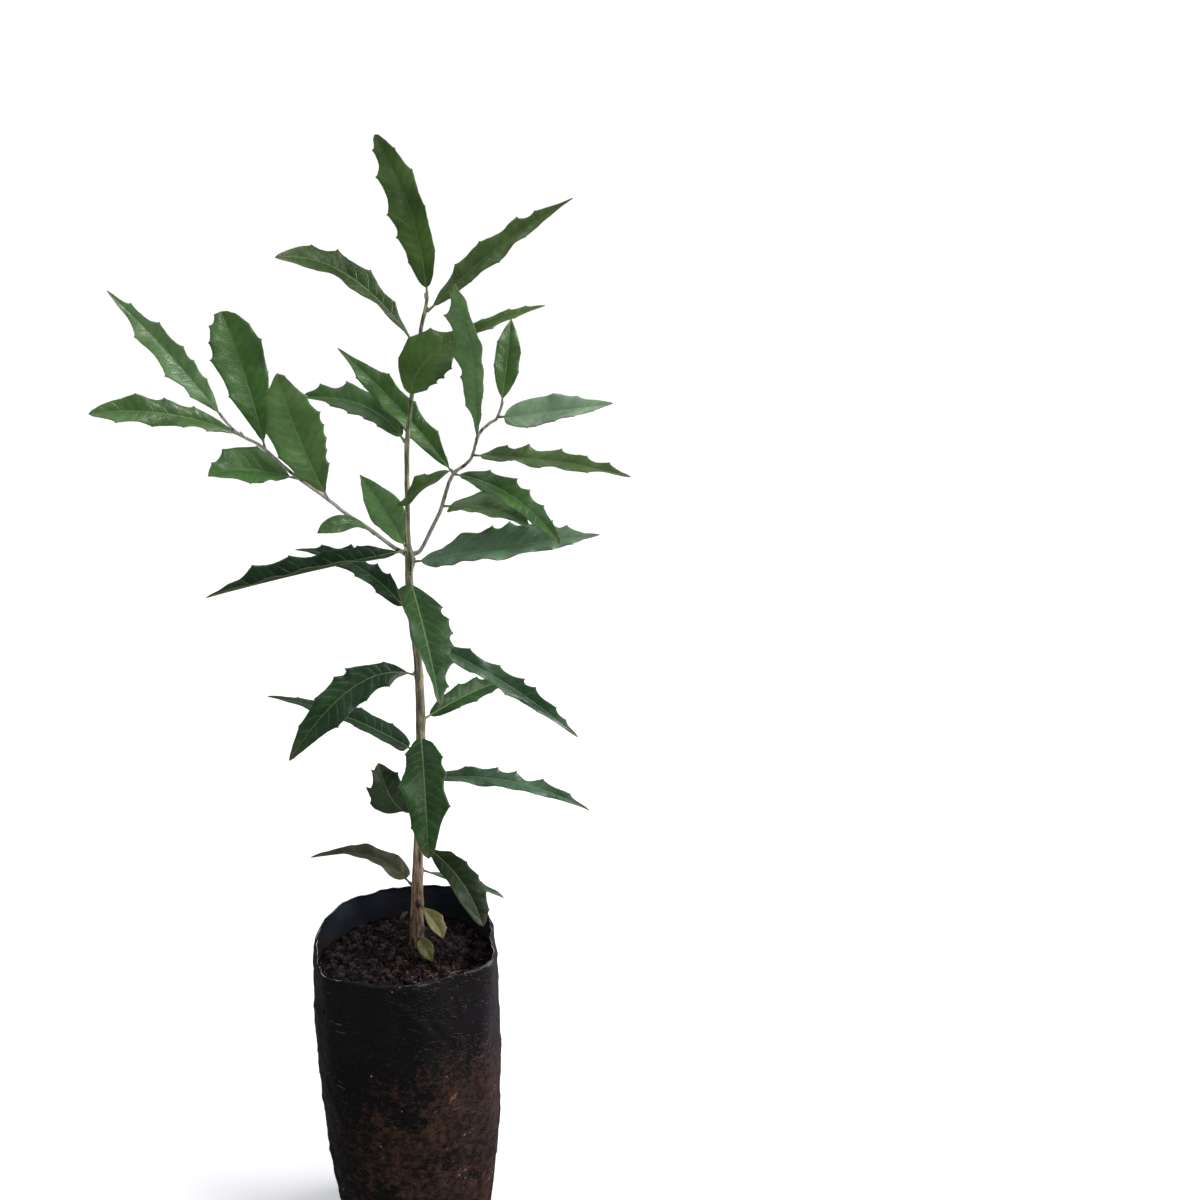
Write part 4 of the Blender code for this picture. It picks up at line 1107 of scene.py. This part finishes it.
def creaseRelief(heading, height):
    total = 0.0
    for middle, level, across, up, reach, depth, width in filmCreases:
        x = math.radians((heading - middle + 180.0) % 360.0 - 180.0) * 62.0
        y = height - level
        if abs(x) + abs(y) > 60.0:
            continue
        along = (x * across + y * up) / reach
        off = (y * across - x * up + 3.0 * along * along) / width
        total += depth * math.exp(-off * off - along**4)
    return total


def filmRelief(heading, height):
    # how far the film stands in or out of its smooth section
    angle = math.radians(heading)
    x, y = 60.0 * math.cos(angle), 60.0 * math.sin(angle)
    upright = noise.noise(Vector((x / 13.0, y / 13.0, height / 75.0)))
    slant = ridged(Vector((x / 30.0 + height / 46.0, y / 30.0, height / 30.0)))
    cross = ridged(Vector((x / 34.0, y / 34.0 - 4.0, height / 17.0 - x / 50.0)))
    small = noise.noise(Vector((x / 4.0, y / 4.0, height / 5.5)))
    busy = 0.55 + 0.45 * noise.noise(Vector((x / 45.0 + 9.0, y / 45.0, height / 50.0)))
    bottom = math.exp(-((height / 26.0) ** 2))
    relief = bag["folds"] * upright + bag["crinkles"] * (slant + 0.6 * cross - 0.5) * busy
    return relief * (1.0 + 0.5 * bottom) + bag["fine"] * small + creaseRelief(heading, height)


def buildBag(finishes):
    cage = bmesh.new()
    profile = smoothPath([(height, radius) for height, radius in bag["profile"]], bag["rings"])
    profile[-1:] = [profile[-2].lerp(profile[-1], k / 5.0) for k in range(1, 6)]
    ring = [cage.verts.new((0.0, 0.0, 0.0))]
    for share in (0.25, 0.5, 0.75, 0.92):
        ring.append(cage.verts.new((share * profile[0].y, 0.0, 0.0)))
    for row in profile:
        ring.append(cage.verts.new((row.y, 0.0, row.x)))
    edges = [cage.edges.new(pair) for pair in zip(ring, ring[1:])]
    bmesh.ops.spin(cage, geom=ring + edges, cent=(0, 0, 0), axis=(0, 0, 1), angle=math.tau,
                   steps=bag["segments"], use_merge=True, use_normal_flip=False, use_duplicate=False)
    bmesh.ops.remove_doubles(cage, verts=cage.verts, dist=0.001)
    for vert in cage.verts:
        height = min(max(vert.co.z, 0.0), bag["height"])
        radius = vert.co.xy.length
        heading = math.degrees(math.atan2(vert.co.y, vert.co.x))
        angle = math.radians(heading)
        reach = radius * creaseFactor(heading, height)
        if height > 0.5:
            ramp = min(1.0, height / 8.0)
            reach += filmRelief(heading, height) * ramp
        top = max(0.0, (height - 236.0) / 14.0)
        waver = noise.noise(Vector((2.6 * math.cos(angle), 2.6 * math.sin(angle), 3.0)))
        quick = noise.noise(Vector((9.0 * math.cos(angle), 9.0 * math.sin(angle), 8.0)))
        reach += bag["rimLean"] * top**2 * (0.5 + waver + 0.5 * quick)
        curl = max(0.0, (height - bag["height"]) / bag["rimCurl"] + 1.0)
        reach -= bag["rimCurl"] * curl**2 * max(0.1, 0.6 + 1.2 * quick)
        rise = bag["rimWave"] * top * (waver + 0.35 * quick - 0.4)
        vert.co = Vector((reach * math.cos(angle), reach * math.sin(angle), height + rise)) * mm
    bmesh.ops.recalc_face_normals(cage, faces=cage.faces)
    film = objectOf("film_bag", meshOf(cage, "film_bag"), finishes)
    return walled(film, bag["film"] * mm)


filmLook = {
    "black": ((0.0028, 0.0026, 0.0034), (0.0066, 0.0052, 0.0050)),
    # inside: the same film, painted lighter and bluish to stand in for the sky's sheen on the inner wall
    "inside": ((0.0105, 0.0140, 0.0195), (0.0200, 0.0255, 0.0340)),
    "earth": ((0.0085, 0.0034, 0.0019), (0.0350, 0.0130, 0.0056)),
    "dusty": (0.062, 0.0250, 0.0110),
    "rust": (0.250, 0.098, 0.040),
    "speck": (0.50, 0.42, 0.36),
    "scratch": (0.260, 0.225, 0.205),
    "gloss": 0.24,
    "insideGloss": 0.20,
}


def filmFinishes():
    # outside with soil showing through and clinging low down, inside with a painted bluish sheen, and the cut edge of
    # the rim with painted glints
    material, tree, shader = newMaterial("blackFilm", 0.28)
    shader.inputs["Specular IOR Level"].default_value = filmLook["gloss"]
    place = addNode(tree, "ShaderNodeTexCoord").outputs["Object"]
    broad = placeGroup(tree, clingingDust, Place=place, Top=0.232, Bottom=0.110, Scale=17.0, Bare=0.30).outputs
    mottle = placeGroup(tree, clingingDust, Place=place, Top=0.220, Bottom=0.050, Scale=46.0, Bare=0.46).outputs
    split = addNode(tree, "ShaderNodeSeparateXYZ")
    tree.links.new(place, split.inputs[0])
    right = rangeNode(tree, split.outputs[0], -0.062, 0.040, 0.22, 0.96)
    cloud = noiseNode(tree, place, 9.0, 3.0)
    colour = mixColour(tree, rangeNode(tree, cloud, 0.3, 0.7), *filmLook["black"])
    grain = noiseNode(tree, place, 190.0, 7.0, 0.74)
    earth = mixColour(tree, rangeNode(tree, grain, 0.40, 0.62), *filmLook["earth"])
    soiled = mathNode(tree, "MULTIPLY", broad["Mask"], right)
    broken = mathNode(tree, "MULTIPLY", mathNode(tree, "SUBTRACT", grain, 0.5), 1.6)
    soiled = rangeNode(tree, mathNode(tree, "ADD", soiled, broken), 0.24, 0.62)
    colour = mixColour(tree, soiled, colour, earth)
    worn = mathNode(tree, "MULTIPLY", mathNode(tree, "MULTIPLY", broad["Mask"], mottle["Mask"]), right)
    worn = mathNode(tree, "MULTIPLY", worn, rangeNode(tree, grain, 0.44, 0.60))
    colour = mixColour(tree, mathNode(tree, "MINIMUM", worn, 0.9), colour, filmLook["dusty"])
    # painted shade: dark lines along the wrinkles where the film is pinched; the same lines dent the bump
    pinched = addNode(tree, "ShaderNodeMapping")
    pinched.inputs["Rotation"].default_value = (0.0, 0.25, 0.0)
    pinched.inputs["Scale"].default_value = (42.0, 42.0, 105.0)
    tree.links.new(place, pinched.inputs["Vector"])
    level = mathNode(tree, "ABSOLUTE", mathNode(tree, "SUBTRACT", noiseNode(tree, pinched.outputs[0], 1.0, 4.0, 0.6), 0.5))
    wrinkleShadeAndDent = rangeNode(tree, level, 0.0, 0.022, 0.70, 0.0)
    colour = mixColour(tree, wrinkleShadeAndDent, colour, (0.0022, 0.0018, 0.0020))
    lumps = rangeNode(tree, noiseNode(tree, place, 62.0, 8.0, 0.72), 0.635, 0.675, 0.0, 0.75)
    lumps = mathNode(tree, "MULTIPLY", lumps, mathNode(tree, "MULTIPLY", soiled, rangeNode(tree, grain, 0.42, 0.58)))
    colour = mixColour(tree, lumps, colour, filmLook["rust"])
    flecks = addNode(tree, "ShaderNodeTexVoronoi", feature="F1")
    tree.links.new(place, flecks.inputs["Vector"])
    flecks.inputs["Scale"].default_value = 330.0
    chosen = rangeNode(tree, flecks.outputs["Color"], 0.66, 0.70)
    small = mathNode(tree, "MULTIPLY", rangeNode(tree, flecks.outputs["Distance"], 0.16, 0.30, 1.0, 0.0), chosen)
    flakes = mathNode(tree, "MULTIPLY", small, mathNode(tree, "MULTIPLY", broad["Mask"], mottle["Specks"]))
    colour = mixColour(tree, mathNode(tree, "MULTIPLY", flakes, 0.9), colour, filmLook["rust"])
    sparse = rangeNode(tree, noiseNode(tree, place, 55.0, 2.0), 0.59, 0.68, 0.0, 0.4)
    colour = mixColour(tree, mathNode(tree, "MULTIPLY", small, sparse), colour, filmLook["speck"])
    # short slanting scuffs, kept only here and there
    rare = rangeNode(tree, noiseNode(tree, place, 34.0, 3.0), 0.56, 0.66, 0.0, 0.38)
    for lean, squeeze in ((0.22, 700.0), (-0.9, 420.0)):
        slope = addNode(tree, "ShaderNodeMapping")
        slope.inputs["Rotation"].default_value = (0.1, lean, 0.0)
        slope.inputs["Scale"].default_value = (45.0, 45.0, squeeze)
        tree.links.new(place, slope.inputs["Vector"])
        streak = rangeNode(tree, noiseNode(tree, slope.outputs[0], 1.0, 2.0), 0.66, 0.74)
        colour = mixColour(tree, mathNode(tree, "MULTIPLY", streak, rare), colour, filmLook["scratch"])
    tree.links.new(colour, shader.inputs["Base Color"])
    rough = mathNode(tree, "ADD", mathNode(tree, "MULTIPLY", soiled, 0.36), rangeNode(tree, cloud, 0.3, 0.7, 0.20, 0.32))
    tree.links.new(rough, shader.inputs["Roughness"])
    crinkle = mathNode(tree, "SUBTRACT", noiseNode(tree, place, 95.0, 5.0, 0.6), mathNode(tree, "MULTIPLY", wrinkleShadeAndDent, 0.35))
    raised = mathNode(tree, "ADD", crinkle, mathNode(tree, "MULTIPLY", grain, 0.25))
    addBump(tree, shader, raised, 0.8, 0.0014)

    inside, tree, shader = newMaterial("filmInsidePaintedSheen", 0.34)
    shader.inputs["Specular IOR Level"].default_value = filmLook["insideGloss"]
    place = addNode(tree, "ShaderNodeTexCoord").outputs["Object"]
    cloud = noiseNode(tree, place, 22.0, 4.0)
    # painted sheen: the inner wall is lighter and bluer than the outside of the same film
    colour = mixColour(tree, rangeNode(tree, cloud, 0.3, 0.7), *filmLook["inside"])
    low = placeGroup(tree, clingingDust, Place=place, Top=0.242, Bottom=0.222, Scale=90.0, Bare=0.42).outputs
    colour = mixColour(tree, mathNode(tree, "MULTIPLY", low["Mask"], 0.7), colour, filmLook["earth"][1])
    tree.links.new(colour, shader.inputs["Base Color"])
    addBump(tree, shader, noiseNode(tree, place, 70.0, 4.0), 0.3, 0.001)

    edge, tree, shader = newMaterial("filmEdgePaintedGlint", 0.25)
    place = addNode(tree, "ShaderNodeTexCoord").outputs["Object"]
    # painted glints: pale patches on the cut edge stand in for light caught along the lip of the rim
    paintedGlint = rangeNode(tree, noiseNode(tree, place, 45.0), 0.36, 0.56)
    tree.links.new(mixColour(tree, paintedGlint, (0.020, 0.020, 0.024), (0.360, 0.360, 0.380)), shader.inputs["Base Color"])
    return [material, inside, edge]


# Potting mix

soil = {
    "level": 224.0,
    "mound": 3.0,
    "moundReach": 24.0,
    "flat": 9.0,
    "wave": 0.8,
    "wavePerMm": (0.21, 0.17),
    "rings": 84,
    "segments": 220,
    "inset": 1.2,
    "crumble": 2.6,
    "fineCrumble": 1.0,
    "clumps": 640,
    "crumbs": 2300,
    "fibres": 340,
    "chips": 150,
    "straws": 60,
    "stemRoots": 70,
    "seed": 8,
}


def soilHeight(x, y):
    away = math.hypot(x - stemPoints[0][0], y - stemPoints[0][1])
    slope = max(0.0, away - soil["flat"]) / soil["moundReach"]
    level = 226.7 - soil["mound"] * (1.0 - math.exp(-(slope**2)))
    alongX, alongY = soil["wavePerMm"]
    wave = math.sin(alongX * x + 1.0) * math.cos(alongY * y - 0.6)
    return level - soil["wave"] * (1.0 + wave) * min(1.0, slope)


def soilRelief(x, y):
    lumps = noise.noise(Vector((x / 7.0, y / 7.0, 2.0)))
    grains = noise.noise(Vector((x / 2.3, y / 2.3, 5.0)))
    return soil["crumble"] * lumps + soil["fineCrumble"] * grains


def soilRim(angle):
    heading = math.degrees(angle)
    height = soil["level"] - 1.0
    reach = bagRadius(height) * creaseFactor(heading, height) + filmRelief(heading, height) - 0.45
    return Vector((reach * math.cos(angle), reach * math.sin(angle), 0.0))


def buildSoil(finish):
    cage = bmesh.new()
    shares = [k / soil["rings"] for k in range(soil["rings"] + 1)]
    ring = [cage.verts.new((share, 0.0, 1.0)) for share in shares]
    for height in (190.0, 140.0, 77.0, 22.0, 6.0, 1.6):
        ring.append(cage.verts.new((1.0, 0.0, height / 250.0 - 1.0)))
    ring.append(cage.verts.new((0.0, 0.0, 1.6 / 250.0 - 1.0)))
    edges = [cage.edges.new(pair) for pair in zip(ring, ring[1:])]
    bmesh.ops.spin(cage, geom=ring + edges, cent=(0, 0, 0), axis=(0, 0, 1), angle=math.tau,
                   steps=soil["segments"], use_merge=True, use_normal_flip=False, use_duplicate=False)
    bmesh.ops.remove_doubles(cage, verts=cage.verts, dist=0.00001)
    middle = Vector((stemPoints[0][0], stemPoints[0][1], 0.0))
    for vert in cage.verts:
        share = vert.co.xy.length
        angle = math.atan2(vert.co.y, vert.co.x)
        if vert.co.z > 0.5:
            spot = middle.lerp(soilRim(angle), min(1.0, share))
            spot.z = soilHeight(spot.x, spot.y) + soilRelief(spot.x, spot.y)
        else:
            height = (vert.co.z + 1.0) * 250.0
            reach = (bagRadius(height) - soil["inset"]) * share * creaseFactor(math.degrees(angle), height)
            reach -= 0.6 * share
            spot = Vector((reach * math.cos(angle), reach * math.sin(angle), height))
        vert.co = spot * mm
    bmesh.ops.recalc_face_normals(cage, faces=cage.faces)
    return objectOf("potting_mix", meshOf(cage, "potting_mix"), [finish])


def soilSpot(rng, most=0.985):
    angle = rng.uniform(-math.pi, math.pi)
    share = math.sqrt(rng.random()) * most
    spot = Vector((stemPoints[0][0], stemPoints[0][1], 0.0)).lerp(soilRim(angle), share)
    spot.z = soilHeight(spot.x, spot.y) + soilRelief(spot.x, spot.y)
    return spot


def addCrumb(cage, rng, big):
    size = 1.3 + 1.7 * rng.random() ** 1.6 if big else 0.40 + 0.9 * rng.random() ** 1.5
    spot = soilSpot(rng, 0.94 if big else 0.985)
    made = bmesh.ops.create_icosphere(cage, subdivisions=2 if big else 1, radius=1.0)
    turn = Quaternion((rng.random(), rng.random(), rng.random()), rng.uniform(0, 6.28)).normalized().to_matrix()
    squash = Vector((rng.uniform(0.7, 1.3), rng.uniform(0.7, 1.3), rng.uniform(0.5, 0.9)))
    sink = rng.uniform(-0.2, 0.5) if big else 0.3
    for vert in made["verts"]:
        dent = 1.0 + 0.55 * noise.noise(vert.co * 1.7 + spot)
        local = turn @ (vert.co * dent)
        local = Vector((local.x * squash.x, local.y * squash.y, local.z * squash.z)) * size
        vert.co = (spot + local + Vector((0, 0, sink * size))) * mm


def buildCrumbs(finish):
    rng = random.Random(soil["seed"])
    heaps = []
    for big, count in ((True, soil["clumps"]), (False, soil["crumbs"])):
        for start in range(0, count, 60):
            cage = bmesh.new()
            for _ in range(min(60, count - start)):
                addCrumb(cage, rng, big)
            heaps.append(objectOf("heap", meshOf(cage, "heap", False), [finish]))
    return joined("soil_crumbs", heaps)


def buildFibres(finish):
    rng = random.Random(soil["seed"] + 1)
    paths = []
    for _ in range(soil["fibres"]):
        start = soilSpot(rng, 0.93)
        if start.x * 0.6 - start.y * 0.8 < rng.uniform(-25.0, 25.0):   # most of them lie in front and to the right
            start = soilSpot(rng, 0.93)
        heading = rng.uniform(-math.pi, math.pi)
        length = rng.uniform(4.0, 16.0)
        bend = rng.uniform(-0.8, 0.8)
        radius = rng.uniform(0.10, 0.26)
        lift = rng.uniform(0.2, 1.6)
        path = []
        for k in range(7):
            t = k / 6.0
            turn = heading + bend * t
            spot = start + Vector((math.cos(turn), math.sin(turn), 0.0)) * (length * t)
            limit = 57.0
            if spot.xy.length > limit:
                spot.xy = spot.xy.normalized() * limit
            spot.z = soilHeight(spot.x, spot.y) + soilRelief(spot.x, spot.y) + lift * math.sin(math.pi * t) + 0.1
            path.append((spot, radius * (1.0 - 0.6 * t)))
        paths.append(path)
    return tubes("soil_fibres", paths, finish, 0)


def buildStraws(finish):
    # pale bits of straw lie in front, to the right of the stem
    rng = random.Random(soil["seed"] + 3)
    paths = []
    for _ in range(soil["straws"]):
        x, y = rng.uniform(2.0, 46.0), rng.uniform(-46.0, -6.0)
        if math.hypot(x, y) > 50.0:
            continue
        heading = rng.gauss(0.2, 0.7)
        length = rng.uniform(3.0, 11.0)
        lift = rng.uniform(0.4, 2.2)
        path = []
        for k in range(4):
            spot = Vector((x, y, 0.0)) + Vector((math.cos(heading), math.sin(heading), 0.0)) * (length * (k / 3.0 - 0.5))
            spot.z = soilHeight(spot.x, spot.y) + soilRelief(spot.x, spot.y) + lift * (0.4 + 0.2 * k)
            path.append((spot, rng.uniform(0.10, 0.30)))
        paths.append(path)
    return tubes("straw_bits", paths, finish, 0)


def buildStemRoots(finish):
    # dark threads of old root that lean against the foot of the stem
    rng = random.Random(soil["seed"] + 4)
    paths = []
    for _ in range(soil["stemRoots"]):
        angle = rng.uniform(-math.pi, math.pi)
        far, near = rng.uniform(8.0, 17.0), rng.uniform(4.6, 7.0)
        top = rng.uniform(1.5, 9.0) * rng.random()
        swing = rng.uniform(-0.8, 0.8)
        path = []
        for k in range(6):
            t = k / 5.0
            turn = angle + swing * t
            away = far + (near - far) * t
            spot = Vector((stemPoints[0][0] + away * math.cos(turn), stemPoints[0][1] + away * math.sin(turn), 0.0))
            spot.z = soilHeight(spot.x, spot.y) + 0.4 + top * t * t + 0.8 * math.sin(math.pi * t)
            path.append((spot, rng.uniform(0.12, 0.30)))
        paths.append(path)
    return tubes("stem_roots", paths, finish, 0)


def buildChips(finish):
    rng = random.Random(soil["seed"] + 2)
    cage = bmesh.new()
    for _ in range(soil["chips"]):
        spot = soilSpot(rng, 0.95)
        made = bmesh.ops.create_cube(cage, size=1.0)
        size = Vector((rng.uniform(1.6, 6.0), rng.uniform(0.6, 1.6), rng.uniform(0.3, 0.7)))
        tilt = Matrix.Rotation(rng.uniform(-0.5, 0.5), 3, "X") @ Matrix.Rotation(rng.uniform(0, 6.28), 3, "Z")
        tilt = Matrix.Rotation(rng.uniform(-0.35, 0.35), 3, "Y") @ tilt
        for vert in made["verts"]:
            local = Vector((vert.co.x * size.x, vert.co.y * size.y, vert.co.z * size.z))
            vert.co = (spot + tilt @ local + Vector((0, 0, 0.4))) * mm
    return objectOf("bark_chips", meshOf(cage, "bark_chips", False), [finish])


def earthFinish(name, dark, light, rough=0.95):
    material, tree, shader = newMaterial(name, rough)
    shader.inputs["Specular IOR Level"].default_value = 0.15
    place = addNode(tree, "ShaderNodeTexCoord").outputs["Object"]
    skin = placeGroup(tree, earthSkin, Place=place, Dark=dark, Light=light, Grit=tuple(2.0 * c for c in light)).outputs
    tree.links.new(skin["Colour"], shader.inputs["Base Color"])
    addBump(tree, shader, skin["Height"], 0.8, 0.0011)
    return material


def buildPot():
    settle(buildBag(filmFinishes()), "film", "bag")
    # painted shade: the ground under the crumbs is near black, to stand in for the shaded gaps between them
    earth = earthFinish("pottingMixGapShade", (0.0014, 0.0010, 0.0014), (0.0056, 0.0040, 0.0044))
    crumb = earthFinish("soilCrumb", (0.0030, 0.0021, 0.0030), (0.0460, 0.0320, 0.0350))
    fibre = earthFinish("rootFibre", (0.036, 0.016, 0.012), (0.170, 0.086, 0.058), 0.8)
    chip = earthFinish("barkChip", (0.034, 0.015, 0.011), (0.150, 0.072, 0.048), 0.85)
    settle(buildSoil(earth), "potting_mix", "soil")
    settle(buildCrumbs(crumb), "potting_mix")
    settle(buildFibres(fibre), "potting_mix")
    settle(buildChips(chip), "potting_mix")
    straw = earthFinish("paleStraw", (0.120, 0.080, 0.056), (0.380, 0.290, 0.220), 0.8)
    oldRoot = earthFinish("oldRoot", (0.012, 0.007, 0.005), (0.060, 0.034, 0.024), 0.9)
    settle(buildStraws(straw), "potting_mix")
    settle(buildStemRoots(oldRoot), "potting_mix")
    print("bag and potting mix done")


# Studio

studio = {
    "floorHalf": 60.0,
    "floorColour": (0.86, 0.86, 0.86),
    "backdrop": (0.92, 0.92, 0.92),     # what the camera sees past the floor
    # the room's horizon left and right, and overhead; then the same as shiny surfaces see it
    "soft": ((0.30, 0.30, 0.32), (0.30, 0.30, 0.32), (0.94, 0.95, 0.97)),
    "shiny": ((0.03, 0.03, 0.035), (0.13, 0.12, 0.135), (0.60, 0.62, 0.68)),
    "mirrored": ((0.03, 0.03, 0.03), (0.16, 0.145, 0.17)),   # and the floor, left and right
    "suns": (
        # name, direction it comes from, width in degrees, strength, colour
        ("keySun", (0.75, -0.38, 0.95), 18.0, 1.45, (1.0, 0.985, 0.955)),
        ("backSun", (-0.55, 0.50, 1.0), 40.0, 0.45, (0.96, 0.98, 1.0)),
    ),
    "strip": ((1.25, 0.35, 0.75), (0.0, 0.0, 0.25), 0.5, 1.3, 25.0, (0.98, 0.96, 1.0)),
    "cameraPlace": (0.134, -0.969, 0.889),
    "cameraDown": 22.1,
    "lens": 50.0,
    "sensor": 36.0,
}


def aimLight(name, data, place, target):
    lamp = bpy.data.objects.new(name, data)
    home.objects.link(lamp)
    lamp.location = place
    lamp.rotation_euler = (Vector(target) - Vector(place)).to_track_quat("-Z", "Y").to_euler()


def buildStudio():
    cage = bmesh.new()
    bmesh.ops.create_grid(cage, x_segments=1, y_segments=1, size=studio["floorHalf"])
    material, tree, shader = newMaterial("paleFloor", 0.9)
    shiny = addNode(tree, "ShaderNodeLightPath").outputs["Is Glossy Ray"]
    split = addNode(tree, "ShaderNodeSeparateXYZ")
    tree.links.new(addNode(tree, "ShaderNodeTexCoord").outputs["Object"], split.inputs[0])
    mirrored = mixColour(tree, rangeNode(tree, split.outputs[0], 0.06, 0.40), *studio["mirrored"])
    tree.links.new(mixColour(tree, shiny, studio["floorColour"], mirrored), shader.inputs["Base Color"])
    floor = objectOf("floor", meshOf(cage, "floor", False), [material])
    world = bpy.data.worlds.new("softRoom")
    bpy.context.scene.world = world
    world.use_nodes = True
    tree = world.node_tree
    split = addNode(tree, "ShaderNodeSeparateXYZ")
    tree.links.new(addNode(tree, "ShaderNodeTexCoord").outputs["Generated"], split.inputs[0])
    across = rangeNode(tree, split.outputs[0], -0.8, 0.8)
    height = rangeNode(tree, split.outputs[2], 0.0, 0.9)
    rooms = []
    for left, right, overhead in (studio["soft"], studio["shiny"]):
        rooms.append(mixColour(tree, height, mixColour(tree, across, left, right), overhead))
    rays = addNode(tree, "ShaderNodeLightPath").outputs
    room = mixColour(tree, rays["Is Glossy Ray"], *rooms)
    room = mixColour(tree, rays["Is Camera Ray"], room, studio["backdrop"])
    tree.links.new(room, tree.nodes["Background"].inputs["Color"])
    for name, place, width, strength, colour in studio["suns"]:
        data = bpy.data.lights.new(name, "SUN")
        data.energy = strength
        data.angle = math.radians(width)
        data.color = colour
        aimLight(name, data, place, (0.0, 0.0, 0.0))
    place, target, width, height, power, colour = studio["strip"]
    data = bpy.data.lights.new("stripLight", "AREA")
    data.shape = "RECTANGLE"
    data.size, data.size_y = width, height
    data.energy = power
    data.color = colour
    aimLight("stripLight", data, place, target)
    data = bpy.data.cameras.new("photoCamera")
    data.lens = studio["lens"]
    data.sensor_width = studio["sensor"]
    camera = bpy.data.objects.new("photoCamera", data)
    home.objects.link(camera)
    camera.location = studio["cameraPlace"]
    camera.rotation_euler = (math.radians(90.0 - studio["cameraDown"]), 0.0, 0.0)
    bpy.context.scene.camera = camera
    bpy.context.scene.view_settings.view_transform = "Standard"


buildPlant()
buildPot()
buildStudio()
